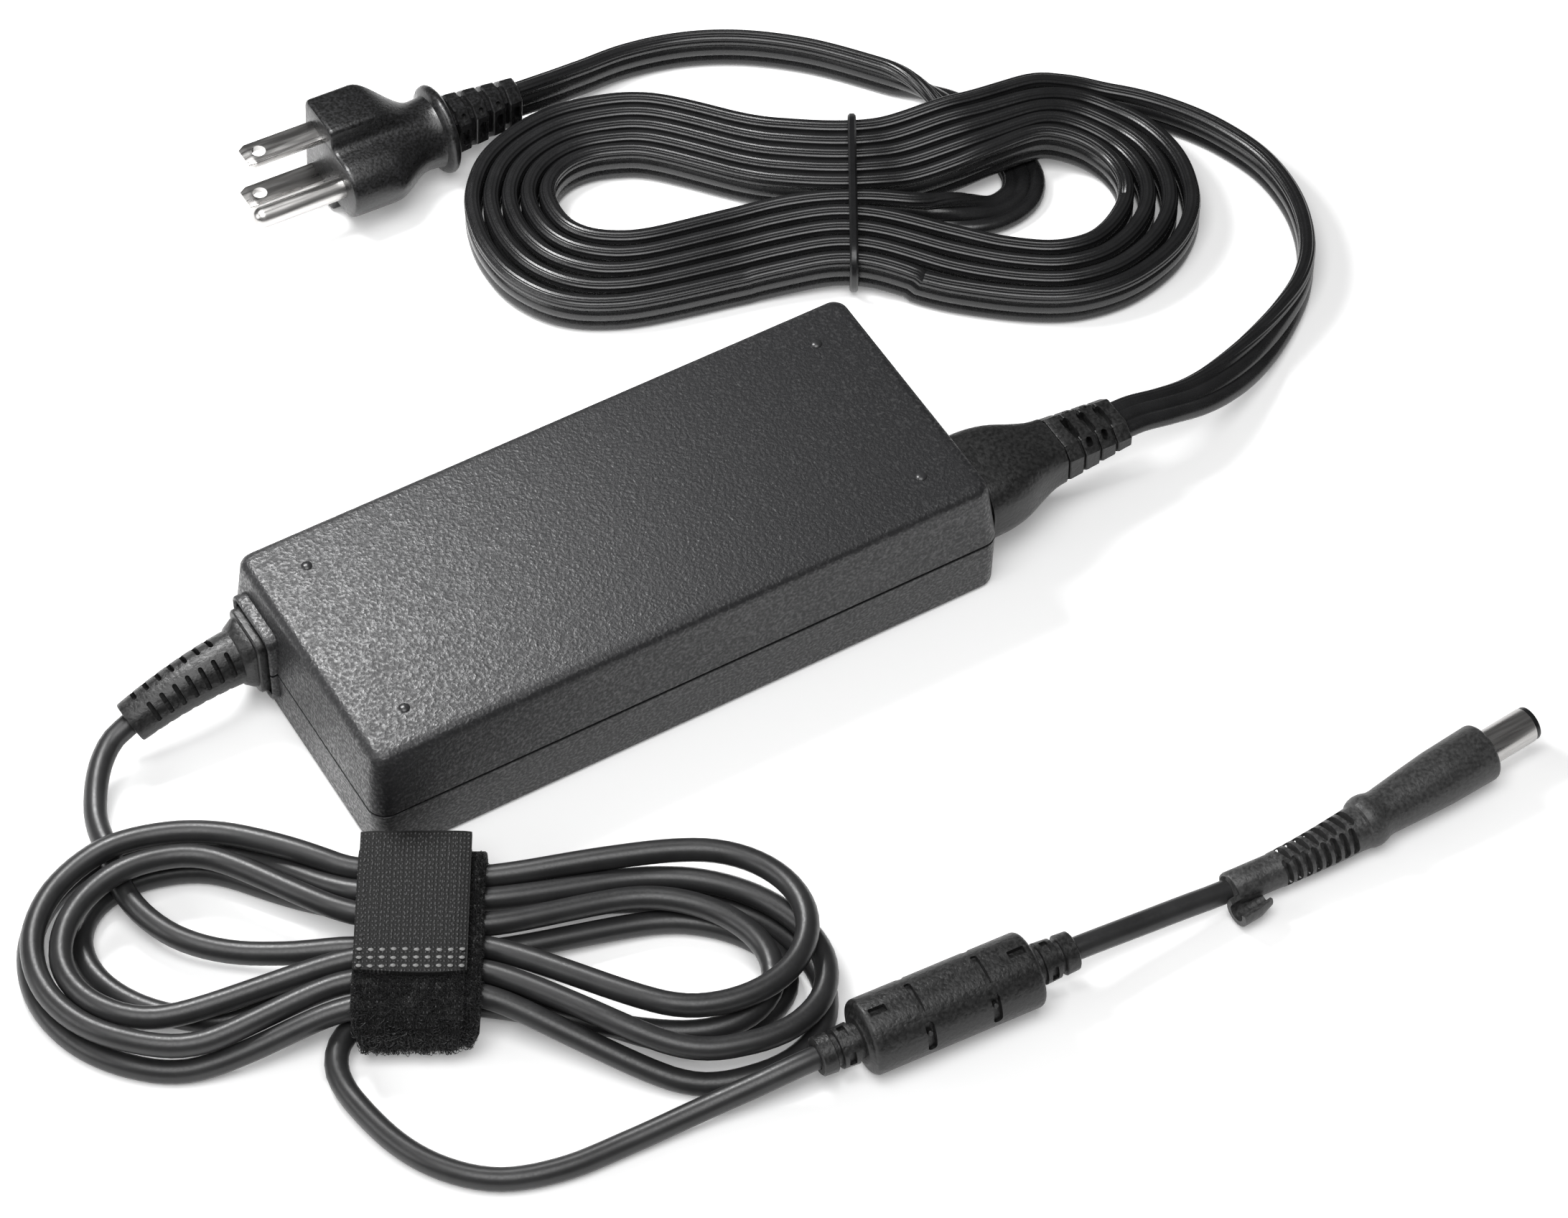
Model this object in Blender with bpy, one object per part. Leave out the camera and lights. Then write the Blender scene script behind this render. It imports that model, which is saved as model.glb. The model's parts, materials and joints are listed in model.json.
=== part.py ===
"""Laptop power adapter: brick, captive DC lead in a strapped hank, and a mains lead that unplugs.

Lengths are written in millimetres and scaled to metres as each mesh is made.
Origin: centre of the brick's underside. +X towards the mains inlet, +Z up.
"""
from math import cos, pi, radians, sin

import bmesh
import bpy
from mathutils import Matrix, Vector

MM = 0.001
GAP = 0.3                                   # clearance between touching pieces

# Brick
LENGTH, WIDTH, HEIGHT = 144.0, 64.4, 29.6
SEAM = 13.7                                 # height of the line between the two shells
WALL = 2.2
CORNER = 4.0
TOP_DRAFT = 1.6                             # how far the upper shell's sides lean in
PIP_X, PIP_Y, PIP_RADIUS, PIP_RISE = 59.1, 20.9, 1.9, 0.7

# DC port, in the -X wall
PORT_Y, PORT_Z = 19.0, 14.2
PORT_HOLE = (9.6, 10.6)                     # width, height of the hole in the wall
RIM_OUTER, RIM_INNER, RIM_RISE = (16.4, 18.8), (14.2, 16.6), 1.4

# Mains inlet, in the +X wall
INLET_Y, INLET_Z = -17.0, 13.7
INLET_MOUTH = (17.4, 12.4)
INLET_DEPTH = 16.0
PIN_PLACES = {"line": (4.0, -1.8), "neutral": (-4.0, -1.8), "earth": (0.0, 2.6)}
PIN_RADIUS = 1.1
UNPLUG_NOSE = 13.0                          # length of connector inside the inlet

# Circuit board
BOARD_BOTTOM, BOARD_TOP = 4.4, 6.0
PARTS_BASE = BOARD_TOP + GAP                # where components stand
HEATSINK_TOP = 24.6

# Cords
DC_CORD = 4.75
MAINS_TUBE = 3.6                            # thickness of the flat three-core lead

# Mains plug, lying on its side
PLUG_FACE, PLUG_Y, PLUG_Z = 1.5, 131.5, 12.2
BLADE = (17.5, 6.35, 1.5)                   # length outside the face, width, thickness
BLADE_SPREAD, BLADE_OFFSET = 12.7, 5.5
EARTH_LENGTH, EARTH_RADIUS, EARTH_OFFSET = 21.4, 2.4, -6.4
SOCKET_DEPTH = 5.0

# DC plug: barrel along +X of its own frame, tip at the origin
DC_TIP = (141.6, -121.3, 6.5)
DC_TURN, DC_TILT = radians(5.0), radians(0.8)
BARREL_OUTER, BARREL_INNER = 3.7, 2.55

# Hanks: both lie along the same slanted line, each with its own centre
HANK_TURN = radians(-30.0)
MAINS_HANK_CENTRE = (99.0, 73.0)
DC_HANK_CENTRE = (-77.0, -56.0)

BLACK, DARK, METAL = (0.018, 0.018, 0.019), (0.035, 0.035, 0.037), (0.75, 0.75, 0.76)


# ---------------------------------------------------------------- making objects

def clear_scene():
    """Remove whatever the scene starts with."""
    for obj in list(bpy.data.objects):
        bpy.data.objects.remove(obj, do_unlink=True)


def material(name, colour, roughness=0.5, metallic=0.0):
    """One Principled material."""
    mat = bpy.data.materials.new(name)
    mat.use_nodes = True
    shader = mat.node_tree.nodes["Principled BSDF"]
    shader.inputs["Base Color"].default_value = (*colour, 1.0)
    shader.inputs["Roughness"].default_value = roughness
    shader.inputs["Metallic"].default_value = metallic
    return mat


def add_mesh(name, verts, faces, mat, place=None):
    """A mesh object from points in millimetres, placed by its own matrix."""
    mesh = bpy.data.meshes.new(name)
    mesh.from_pydata([Vector(v) * MM for v in verts], [], faces)
    mesh.materials.append(mat)
    work = bmesh.new()
    work.from_mesh(mesh)
    bmesh.ops.recalc_face_normals(work, faces=work.faces)
    work.to_mesh(mesh)
    work.free()
    mesh.shade_smooth()
    mesh.set_sharp_from_angle(angle=radians(35))
    obj = bpy.data.objects.new(name, mesh)
    bpy.context.scene.collection.objects.link(obj)
    if place is not None:
        obj.location = place.translation * MM
        obj.rotation_euler = place.to_euler()
    return obj


def frame(origin, turn=0.0, tilt=0.0):
    """A placement at origin, turned about Z, then tilted nose up about its own Y."""
    return Matrix.Translation(origin) @ Matrix.Rotation(turn, 4, "Z") @ Matrix.Rotation(-tilt, 4, "Y")


def loft(name, rings, mat, place=None, endless=False):
    """Skin a row of rings with equal point counts; ends are capped unless the row is endless."""
    count = len(rings[0])
    verts = [v for ring in rings for v in ring]
    faces = []
    for row in range(len(rings) if endless else len(rings) - 1):
        here, there = row * count, (row + 1) % len(rings) * count
        for i in range(count):
            j = (i + 1) % count
            faces.append((here + i, here + j, there + j, there + i))
    if not endless:
        faces.append(tuple(range(count)))
        faces.append(tuple(range(len(verts) - count, len(verts))))
    return add_mesh(name, verts, faces, mat, place)


def rounded(width, height, radius, steps=4):
    """Outline of a rectangle with round corners, as (across, up) pairs, anticlockwise."""
    radius = min(radius, width / 2, height / 2)
    points = []
    for corner, (sx, sy) in enumerate(((1, 1), (-1, 1), (-1, -1), (1, -1))):
        cx, cy = sx * (width / 2 - radius), sy * (height / 2 - radius)
        for k in range(steps):
            angle = pi / 2 * (corner + k / (steps - 1))
            points.append((cx + radius * cos(angle), cy + radius * sin(angle)))
    return points


def rectangle(width, height):
    """Outline of a plain rectangle."""
    return [(width / 2 * a, height / 2 * b) for a, b in ((1, 1), (-1, 1), (-1, -1), (1, -1))]


def oval(across, up, steps):
    """Outline of an ellipse, from its two half axes."""
    return [(across * cos(2 * pi * k / steps), up * sin(2 * pi * k / steps)) for k in range(steps)]


def disc(radius, steps=16):
    """Outline of a circle."""
    return oval(radius, radius, steps)


def across_x(x, outline, y=0.0, z=0.0):
    """An outline standing square to X."""
    return [(x, y + a, z + b) for a, b in outline]


def flat(z, outline, x=0.0, y=0.0):
    """An outline lying level."""
    return [(x + a, y + b, z) for a, b in outline]


def box(name, low, high, mat, bevel=0.0):
    """A rectangular block between two corners, with broken edges where asked."""
    size = [b - a for a, b in zip(low, high)]
    middle = [(a + b) / 2 for a, b in zip(low, high)]
    obj = loft(name, [flat(z, rectangle(size[0], size[1])) for z in (-size[2] / 2, size[2] / 2)],
               mat, frame(middle))
    if bevel:
        edge = obj.modifiers.new("edges", "BEVEL")
        edge.width = bevel * MM
        edge.segments = 1
    return obj


def rod(name, start, axis, length, radius, mat, steps=16):
    """A round bar from start along X, Y or Z."""
    turn = {"X": Matrix.Rotation(pi / 2, 4, "Y"), "Y": Matrix.Rotation(-pi / 2, 4, "X"), "Z": Matrix()}[axis]
    rings = [flat(h, disc(radius, steps)) for h in (0.0, length)]
    return loft(name, rings, mat, Matrix.Translation(start) @ turn)


def pipe(name, start, length, outer, inner, mat, place=None, steps=24):
    """A round tube along X, open at both ends."""
    rings = [across_x(x, disc(r, steps)) for x, r in
             ((start, outer), (start + length, outer), (start + length, inner), (start, inner))]
    return loft(name, rings, mat, place, endless=True)


def torus(name, centre, ring, wire, mat, steps=24, sides=10, height_scale=1.0):
    """A ring lying level, its section stretched upwards by height_scale."""
    rows = []
    for k in range(steps):
        angle = 2 * pi * k / steps
        out = [(ring + wire * cos(2 * pi * s / sides), wire * height_scale * sin(2 * pi * s / sides))
               for s in range(sides)]
        rows.append([(r * cos(angle), r * sin(angle), z) for r, z in out])
    return loft(name, rows, mat, frame(centre), endless=True)


def combine(target, tool, operation):
    """Cut a hidden tool out of the target, or weld it on."""
    change = target.modifiers.new(operation.lower(), "BOOLEAN")
    change.operation = operation
    change.object = tool
    tool.hide_render = True
    tool.display_type = "WIRE"


def curve_through(points, spacing):
    """Points about spacing apart on a smooth curve through the given ones."""
    ends = [2 * Vector(points[0]) - Vector(points[1])]
    line = ends + [Vector(p) for p in points] + [2 * Vector(points[-1]) - Vector(points[-2])]
    out = []
    for a, b, c, d in zip(line, line[1:], line[2:], line[3:]):
        parts = max(1, round((c - b).length / spacing))
        for k in range(parts):
            t = k / parts
            out.append(0.5 * (2 * b + (c - a) * t + (2 * a - 5 * b + 4 * c - d) * t * t
                              + (3 * b - a - 3 * c + d) * t ** 3))
    return out + [Vector(points[-1])]


def cord(name, points, diameter, mat, spacing=None):
    """A plain round tube along a smooth curve through the route's points."""
    route = curve_through(points, spacing or 2.6 * diameter)
    curve = bpy.data.curves.new(name, "CURVE")
    curve.dimensions = "3D"
    curve.bevel_depth = diameter / 2 * MM
    curve.bevel_resolution = 2
    curve.use_fill_caps = True
    spline = curve.splines.new("POLY")
    spline.points.add(len(route) - 1)
    for target, p in zip(spline.points, route):
        target.co = (*(p * MM), 1.0)
    curve.materials.append(mat)
    obj = bpy.data.objects.new(name, curve)
    bpy.context.scene.collection.objects.link(obj)
    return obj


# ---------------------------------------------------------------- brick shells

def shell_rings(levels, inner_levels):
    """Outer rings then inner rings, each level being (height, inset)."""
    rings = [flat(z, rounded(LENGTH - 2 * inset, WIDTH - 2 * inset, max(CORNER - inset, 1.2)))
             for z, inset in levels]
    rings += [flat(z, rounded(LENGTH - 2 * inset, WIDTH - 2 * inset, max(CORNER - inset, 1.2)))
              for z, inset in inner_levels]
    return rings


def open_ports(shell, mats):
    """Raise the DC port's rim on a shell, then cut both ports through its end walls."""
    rim_bottom, rim_top = PORT_Z - RIM_OUTER[1] / 2, PORT_Z + RIM_OUTER[1] / 2
    is_top = shell.name == "top_cover"
    low, high = (SEAM + GAP / 2, rim_top) if is_top else (rim_bottom, SEAM - GAP / 2)
    face = -LENGTH / 2
    half = RIM_OUTER[0] / 2
    rim = box(f"{shell.name}_rim", (face - RIM_RISE, PORT_Y - half, low),
              (face + WALL / 2 + TOP_DRAFT / 2, PORT_Y + half, high), mats["case"])
    combine(shell, rim, "UNION")
    recess = [across_x(x, rounded(*RIM_INNER, 1.5), PORT_Y, PORT_Z) for x in (face - 3, face - 0.2)]
    combine(shell, loft(f"{shell.name}_port_recess", recess, mats["case"]), "DIFFERENCE")
    hole = [across_x(x, rounded(*PORT_HOLE, 1.5), PORT_Y, PORT_Z) for x in (face - 3, face + 5)]
    combine(shell, loft(f"{shell.name}_port_hole", hole, mats["case"]), "DIFFERENCE")
    mouth = [across_x(x, rounded(*INLET_MOUTH, 4.5), INLET_Y, INLET_Z) for x in (-face - 5, -face + 3)]
    combine(shell, loft(f"{shell.name}_inlet_mouth", mouth, mats["case"]), "DIFFERENCE")


def top_cover(mats):
    """Upper shell: leaning sides, rounded top edge and four pips near the corners."""
    outer = [(SEAM + GAP / 2, 0.0), (HEIGHT - 2.0, TOP_DRAFT - 0.1), (HEIGHT - 0.6, TOP_DRAFT + 0.6),
             (HEIGHT, TOP_DRAFT + 2.0)]
    inner = [(SEAM + GAP / 2, WALL), (HEIGHT - WALL, WALL + TOP_DRAFT)]
    rings = shell_rings(outer[::-1], inner)
    cover = loft("top_cover", rings, mats["case"])
    open_ports(cover, mats)
    for k, (sx, sy) in enumerate(((1, 1), (-1, 1), (-1, -1), (1, -1))):
        profile = [(HEIGHT - 0.4, PIP_RADIUS), (HEIGHT + 0.1, PIP_RADIUS), (HEIGHT + 0.5, PIP_RADIUS * 0.7),
                   (HEIGHT + PIP_RISE, PIP_RADIUS * 0.25)]
        rings = [flat(z, disc(r, 12), sx * PIP_X, sy * PIP_Y) for z, r in profile]
        combine(cover, loft(f"pip_{k}", rings, mats["case"]), "UNION")


def bottom_case(mats):
    """Lower shell, nearly square to the table, with its bottom edge just broken."""
    outer = [(0.0, 1.3), (0.5, 0.6), (1.4, 0.3), (SEAM - GAP / 2, 0.0)]
    inner = [(SEAM - GAP / 2, WALL), (WALL, WALL + 0.3)]
    case = loft("bottom_case", shell_rings(outer, inner), mats["case"])
    open_ports(case, mats)


# ---------------------------------------------------------------- mains inlet and connector

def pin_holes(target, first_x, last_x, radius, mat):
    """Cut the three contact holes through a moulding."""
    for name, (across, up) in PIN_PLACES.items():
        tool = rod(f"{target.name}_{name}_hole", (first_x, INLET_Y + across, INLET_Z + up), "X",
                   last_x - first_x, radius, mat, 12)
        combine(target, tool, "DIFFERENCE")


def inlet(mats):
    """Housing behind the wall, open at the mouth, with three round pins."""
    front = LENGTH / 2 - WALL - TOP_DRAFT / 2 - GAP
    back = LENGTH / 2 - INLET_DEPTH - 2.0
    outer = rounded(INLET_MOUTH[0] + 3.0, INLET_MOUTH[1] + 3.0, 5.5)
    inner = rounded(*INLET_MOUTH, 4.5)
    rings = [across_x(back, outer, INLET_Y, INLET_Z), across_x(front, outer, INLET_Y, INLET_Z),
             across_x(front, inner, INLET_Y, INLET_Z), across_x(back + 2.0, inner, INLET_Y, INLET_Z)]
    housing = loft("ac_inlet_housing", rings, mats["moulding"])
    pin_holes(housing, back - 2, back + 4, PIN_RADIUS + GAP, mats["moulding"])
    for name, (across, up) in PIN_PLACES.items():
        start = (back - 4.0, INLET_Y + across, INLET_Z + up)
        rod(f"inlet_pin_{name}", start, "X", 4.0 + INLET_DEPTH - 1.5, PIN_RADIUS, mats["nickel"], 12)


def mains_connector(mats):
    """Moulded connector: nose in the inlet, wide grip, then a flat ribbed strain relief."""
    wall = LENGTH / 2 + GAP
    nose = rounded(INLET_MOUTH[0] - 2 * GAP, INLET_MOUTH[1] - 2 * GAP, 4.2)
    stations = [(wall - UNPLUG_NOSE, nose), (wall, nose), (wall, rounded(23.0, 16.4, 6.0)),
                (wall + 5, rounded(22.8, 16.4, 6.2)), (wall + 10, rounded(21.0, 15.6, 6.2)),
                (wall + 14, rounded(17.2, 14.0, 5.6)), (wall + 19, rounded(13.6, 11.4, 4.6)),
                (wall + 21, rounded(13.2, 10.6, 2.4))]
    first = stations[-1][0]
    for k in range(4):
        width, height = 13.4 - 0.3 * k, 10.4 - 0.9 * k
        stations += [(first + 4 * k, rounded(width - 2.4, height - 2.2, 1.6)),
                     (first + 4 * k + 1.2, rounded(width - 2.4, height - 2.2, 1.6)),
                     (first + 4 * k + 1.2, rounded(width, height, 2.0)),
                     (first + 4 * k + 4, rounded(width - 0.2, height - 0.4, 2.0))]
    rings = [across_x(x, outline, INLET_Y, INLET_Z) for x, outline in stations]
    body = loft("mains_connector_body", rings, mats["moulding"])
    pin_holes(body, wall - UNPLUG_NOSE - 1, wall, 2.1, mats["moulding"])
    for name, (across, up) in PIN_PLACES.items():
        place = frame((wall - UNPLUG_NOSE + 0.8, INLET_Y + across, INLET_Z + up))
        pipe(f"connector_contact_{name}", 0.0, UNPLUG_NOSE - 1.6, 1.8, PIN_RADIUS + GAP, mats["nickel"],
             place, 12)


# ---------------------------------------------------------------- DC boot

def swept(name, stations, mat):
    """Loft outlines along a bent centre line; a station is (x, y, z, outline, turn, tilt)."""
    rings = []
    for x, y, z, outline, turn, tilt in stations:
        place = frame((x, y, z), turn, tilt)
        rings.append([place @ Vector((0.0, a, b)) for a, b in outline])
    return loft(name, rings, mat)


def dc_strain_relief(mats):
    """Captive grommet in the wall, a rounded flange outside it, then a tapering slotted boot."""
    wall = -LENGTH / 2
    square = rounded(PORT_HOLE[0] - 2 * GAP, PORT_HOLE[1] - 2 * GAP, 1.3)
    keeper, flange = rounded(13.0, 14.5, 2.0), rounded(13.2, 15.6, 2.2)
    inside = wall + WALL + TOP_DRAFT / 2 + GAP
    stations = [(inside + 2.3, keeper), (inside, keeper), (inside, square), (wall - 0.7, square),
                (wall - 0.7, flange), (wall - 3.0, rounded(12.8, 15.2, 2.6)),
                (wall - 3.0, rounded(11.6, 13.6, 3.4)), (wall - 5.6, rounded(11.2, 11.6, 5.0))]
    rows = [(x, PORT_Y, PORT_Z, outline, 0.0, 0.0) for x, outline in stations]
    for k in range(8):
        t = k / 7
        x = wall - 6.0 - 23.6 * t
        droop = 4.2 * t * t
        rows.append((x, PORT_Y - 1.4 * t, PORT_Z - droop, disc(5.7 - 1.2 * t), radians(3), radians(20) * t))
    return swept("dc_strain_relief", rows, mats["moulding"])


# ---------------------------------------------------------------- board and components

def board(mats):
    """Circuit board, the insulating sheet under it and the heat spreader under the cover."""
    box("main_circuit_board", (-66.0, -28.4, BOARD_BOTTOM), (49.0, 28.4, BOARD_TOP), mats["board"])
    box("insulating_sheet", (-67.0, -29.0, 2.9), (50.0, 29.0, 3.3), mats["film"])
    box("heat_spreader", (-60.0, -25.0, 26.0), (46.0, 25.0, 26.8), mats["aluminium"])


def heatsink(name, x0, x1, y, foot, mats):
    """An L-shaped plate: upright wall and a foot towards the board's middle."""
    z0, z1 = PARTS_BASE, HEATSINK_TOP
    inner = y + (2.0 if foot > 0 else -2.0)
    outline = [(y, z0), (inner + foot, z0), (inner + foot, z0 + 1.6), (inner, z0 + 1.6), (inner, z1), (y, z1)]
    loft(name, [[(x, a, b) for a, b in outline] for x in (x0, x1)], mats["aluminium"])


def wound_core(mats):
    """Transformer: a shell-type core round a bobbin of windings."""
    x, y, z = -22.0, 4.0, PARTS_BASE
    core = box("transformer_core", (x - 14, y - 13, z), (x + 14, y + 13, z + 17.4), mats["ferrite"], 0.4)
    window = box("transformer_window", (x - 8.7, y - 20, z + 3.4), (x + 8.7, y + 20, z + 14.0), mats["ferrite"])
    combine(core, window, "DIFFERENCE")
    rings = [[(x + a, yy, z + 8.7 + b) for a, b in rounded(16.4, 9.8, 2.5)] for yy in (y - 16, y + 16)]
    loft("transformer_winding", rings, mats["tape"])


def choke(name, centre, ring, wire, height_scale, mats):
    """A toroidal choke standing on its rim plane."""
    torus(name, centre, ring, wire, mats["copper"], 20, 8, height_scale)


def components(mats):
    """Everything soldered to the board, in order from the mains inlet to the DC port."""
    base = PARTS_BASE
    rod("fuse", (44.0, 6.0, base + 2.8), "Y", 18.0, 2.6, mats["ceramic"], 12)
    box("x_capacitor", (36.0, -27.0, base), (47.0, -9.4, base + 14.5), mats["yellow"], 0.6)
    choke("common_mode_choke", (32.0, 12.0, base + 5.0), 6.4, 3.0, 1.6, mats)
    box("y_capacitor", (40.0, -5.0, base), (43.0, 3.0, base + 7.0), mats["blue"], 0.6)
    heatsink("primary_heatsink", -9.0, 27.0, -27.4, 3.0, mats)
    box("bridge_rectifier", (17.0, -24.0, base + 2.6), (31.0, -20.6, base + 16.0), mats["epoxy"], 0.3)
    box("switching_transistor", (-6.0, -24.6, base + 2.6), (4.4, -20.4, base + 17.0), mats["epoxy"], 0.3)
    choke("pfc_choke", (12.0, 16.0, base + 5.6), 7.4, 3.2, 1.7, mats)
    rod("bulk_capacitor", (-5.0, -8.6, base + 9.4), "X", 33.0, 9.0, mats["sleeve"], 24)
    heatsink("secondary_heatsink", -62.0, -34.0, 27.4, -3.0, mats)
    box("output_rectifier", (-54.0, 20.4, base + 2.6), (-43.6, 24.6, base + 17.0), mats["epoxy"], 0.3)
    for k, y in enumerate((-20.0, -8.5), start=1):
        rod(f"output_capacitor_{k}", (-60.0, y, base + 5.4), "X", 20.0, 5.0, mats["sleeve"], 16)
    box("optocoupler", (-35.0, -22.5, base), (-28.4, -18.0, base + 3.6), mats["epoxy"], 0.2)
    box("controller_chip", (-22.0, -24.0, base), (-17.0, -20.0, base + 1.6), mats["epoxy"], 0.2)


# ---------------------------------------------------------------- mains plug

def plug_section(grow=0.0, blend=0.0, neck=7.6):
    """Pin block with the rounded earth lobe beside it, blending to a round neck.

    Points run anticlockwise in (across, up): across is towards the blades.
    """
    points = []
    block, lobe = 11.9 + grow, 7.0 + grow
    for up in (1, -1):
        side = [(11.2 + grow, 0.0), (11.2 + grow, up * block * 0.5), (11.2 + grow, up * (block - 1.4)),
                (9.8 + grow, up * block), (5.0, up * block), (-0.4, up * block), (-1.4, up * (block - 1.0)),
                (-2.6, up * (lobe + 2.2)), (-4.6, up * (lobe + 0.2)), (EARTH_OFFSET - 1.0, up * lobe),
                (EARTH_OFFSET - lobe * 0.55, up * lobe * 0.8), (EARTH_OFFSET - lobe * 0.9, up * lobe * 0.42)]
        points.append(side)
    upper, lower = points
    outline = upper + [(EARTH_OFFSET - lobe, 0.0)] + lower[:0:-1]
    count = len(outline)
    out = []
    for k, (a, b) in enumerate(outline):
        angle = 2 * pi * k / count
        out.append((a + (neck * cos(angle) - a) * blend, b + (neck * sin(angle) - b) * blend))
    return out


def mains_plug(mats):
    """Moulded plug on its side: pins towards -X, waist, round finger disc and ribbed relief."""
    place = frame((PLUG_FACE, PLUG_Y, PLUG_Z), 0.0, radians(-3.0))
    waist = [(0.0, -0.5, 0.0, 7.6), (0.8, 0.0, 0.0, 7.6), (10.5, 0.0, 0.0, 7.6), (15.0, 0.0, 0.35, 8.0),
             (19.0, 0.0, 0.8, 8.0), (22.0, 0.0, 1.0, 7.9), (24.6, 0.0, 1.0, 8.2), (25.6, 0.0, 1.0, 9.6),
             (26.6, 0.0, 1.0, 10.1), (27.8, 0.0, 1.0, 9.6), (28.4, 0.0, 1.0, 6.4)]
    rings = [across_x(x, plug_section(grow, blend, neck)) for x, grow, blend, neck in waist]
    count = len(rings[0])
    for k in range(4):
        x, half_width, half_height = 28.4 + 4.4 * k, 5.4 - 0.45 * k, 6.4 - 0.15 * k
        rings += [across_x(x, oval(half_width - 1.4, half_height - 1.2, count)),
                  across_x(x + 1.3, oval(half_width - 1.4, half_height - 1.2, count)),
                  across_x(x + 1.3, oval(half_width, half_height, count)),
                  across_x(x + 4.4, oval(half_width - 0.3, half_height - 0.1, count))]
    body = loft("plug_body", rings, mats["plug"], place)
    for name, side in (("plug_blade_line", 1), ("plug_blade_neutral", -1)):
        blade(name, side * BLADE_SPREAD / 2, body, place, mats)
    earth_pin(body, place, mats)


def blade(name, up, body, place, mats):
    """A flat blade with its hole, seated in a pocket in the plug's face."""
    length, width, thick = BLADE
    seat = SOCKET_DEPTH
    tip = [(-length, 0.72), (-length + 1.4, 1.0), (seat, 1.0)]
    rings = [across_x(x, rounded(width * s, thick * (0.5 if s < 1 else 1.0), 0.2), BLADE_OFFSET, up)
             for x, s in tip]
    piece = loft(name, rings, mats["nickel"], place)
    hole = loft(f"{name}_hole", [flat(z, disc(1.6, 12), -length + 3.6, BLADE_OFFSET) for z in (up - 3, up + 3)],
                mats["nickel"], place)
    combine(piece, hole, "DIFFERENCE")
    pocket = [across_x(x, rounded(width + 2 * GAP, thick + 2 * GAP, 0.3), BLADE_OFFSET, up)
              for x in (-2.0, seat + GAP)]
    combine(body, loft(f"{name}_pocket", pocket, mats["plug"], place), "DIFFERENCE")


def earth_pin(body, place, mats):
    """The round earth pin with its domed tip, seated in the plug's lobe."""
    profile = [(-EARTH_LENGTH, 0.8), (-EARTH_LENGTH + 0.6, 1.7), (-EARTH_LENGTH + 1.8, 2.3),
               (-EARTH_LENGTH + 2.8, EARTH_RADIUS), (SOCKET_DEPTH, EARTH_RADIUS)]
    loft("plug_earth_pin", [across_x(x, disc(r), EARTH_OFFSET) for x, r in profile], mats["nickel"], place)
    pocket = [across_x(x, disc(EARTH_RADIUS + GAP), EARTH_OFFSET) for x in (-2.0, SOCKET_DEPTH + GAP)]
    combine(body, loft("earth_pocket", pocket, mats["plug"], place), "DIFFERENCE")


# ---------------------------------------------------------------- DC plug

def dc_plug(mats):
    """Grip, barrel, tip ring, inner sleeve and centre pin; the relief behind bends level."""
    place = frame(DC_TIP, DC_TURN, DC_TILT)
    bore = BARREL_OUTER + GAP
    grip = [(-19.0, bore, 0), (-12.4, bore, 0), (-12.4, 5.6, 0), (-13.0, 6.15, 0), (-24.0, 5.9, 0),
            (-34.0, 5.2, 0), (-38.6, 4.9, 0), (-40.4, 5.3, 0), (-42.0, 5.55, 0), (-43.8, 5.2, 0),
            (-45.4, 4.6, 0.1), (-52.0, 4.3, 0.4), (-58.0, 4.0, 0.9), (-63.6, 3.75, 1.5), (-68.6, 3.65, 2.3),
            (-74.0, 3.6, 3.2)]
    rings = [[(x, side + a, b - 0.012 * abs(x) * (side > 0)) for a, b in disc(radius, 20)]
             for x, radius, side in grip]
    body = loft("dc_plug_body", rings, mats["moulding"], place)
    combine(body, cord_clip(place, mats), "UNION")
    pipe("dc_plug_sleeve", -18.4, 17.2, BARREL_OUTER, BARREL_INNER + 0.5, mats["nickel"], place)
    pipe("dc_plug_tip_ring", -0.9, 0.9, BARREL_OUTER - 0.05, BARREL_INNER, mats["moulding"], place)
    pipe("dc_plug_inner_sleeve", -18.4, 17.2, BARREL_INNER + 0.2, BARREL_INNER - 0.2, mats["nickel"], place)
    pin = [(-18.4, 0.45), (-2.6, 0.45), (-1.8, 0.2)]
    loft("dc_plug_centre_pin", [across_x(x, disc(r, 8)) for x, r in pin], mats["nickel"], place)


def cord_clip(place, mats):
    """C-shaped clip beside the DC plug's rear sleeve, for a loop of cord."""
    centre_y, centre_z, outer, inner = -2.6, -1.9, 3.1, 1.9
    arc = [radians(150 + 250 * k / 12) for k in range(13)]
    outline = [(outer * cos(t), outer * sin(t)) for t in arc] + [(inner * cos(t), inner * sin(t)) for t in arc[::-1]]
    rings = [across_x(x, outline, centre_y, centre_z) for x in (-73.6, -66.4)]
    return loft("cord_clip", rings, mats["moulding"], place)


# ---------------------------------------------------------------- ferrite bead

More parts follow.
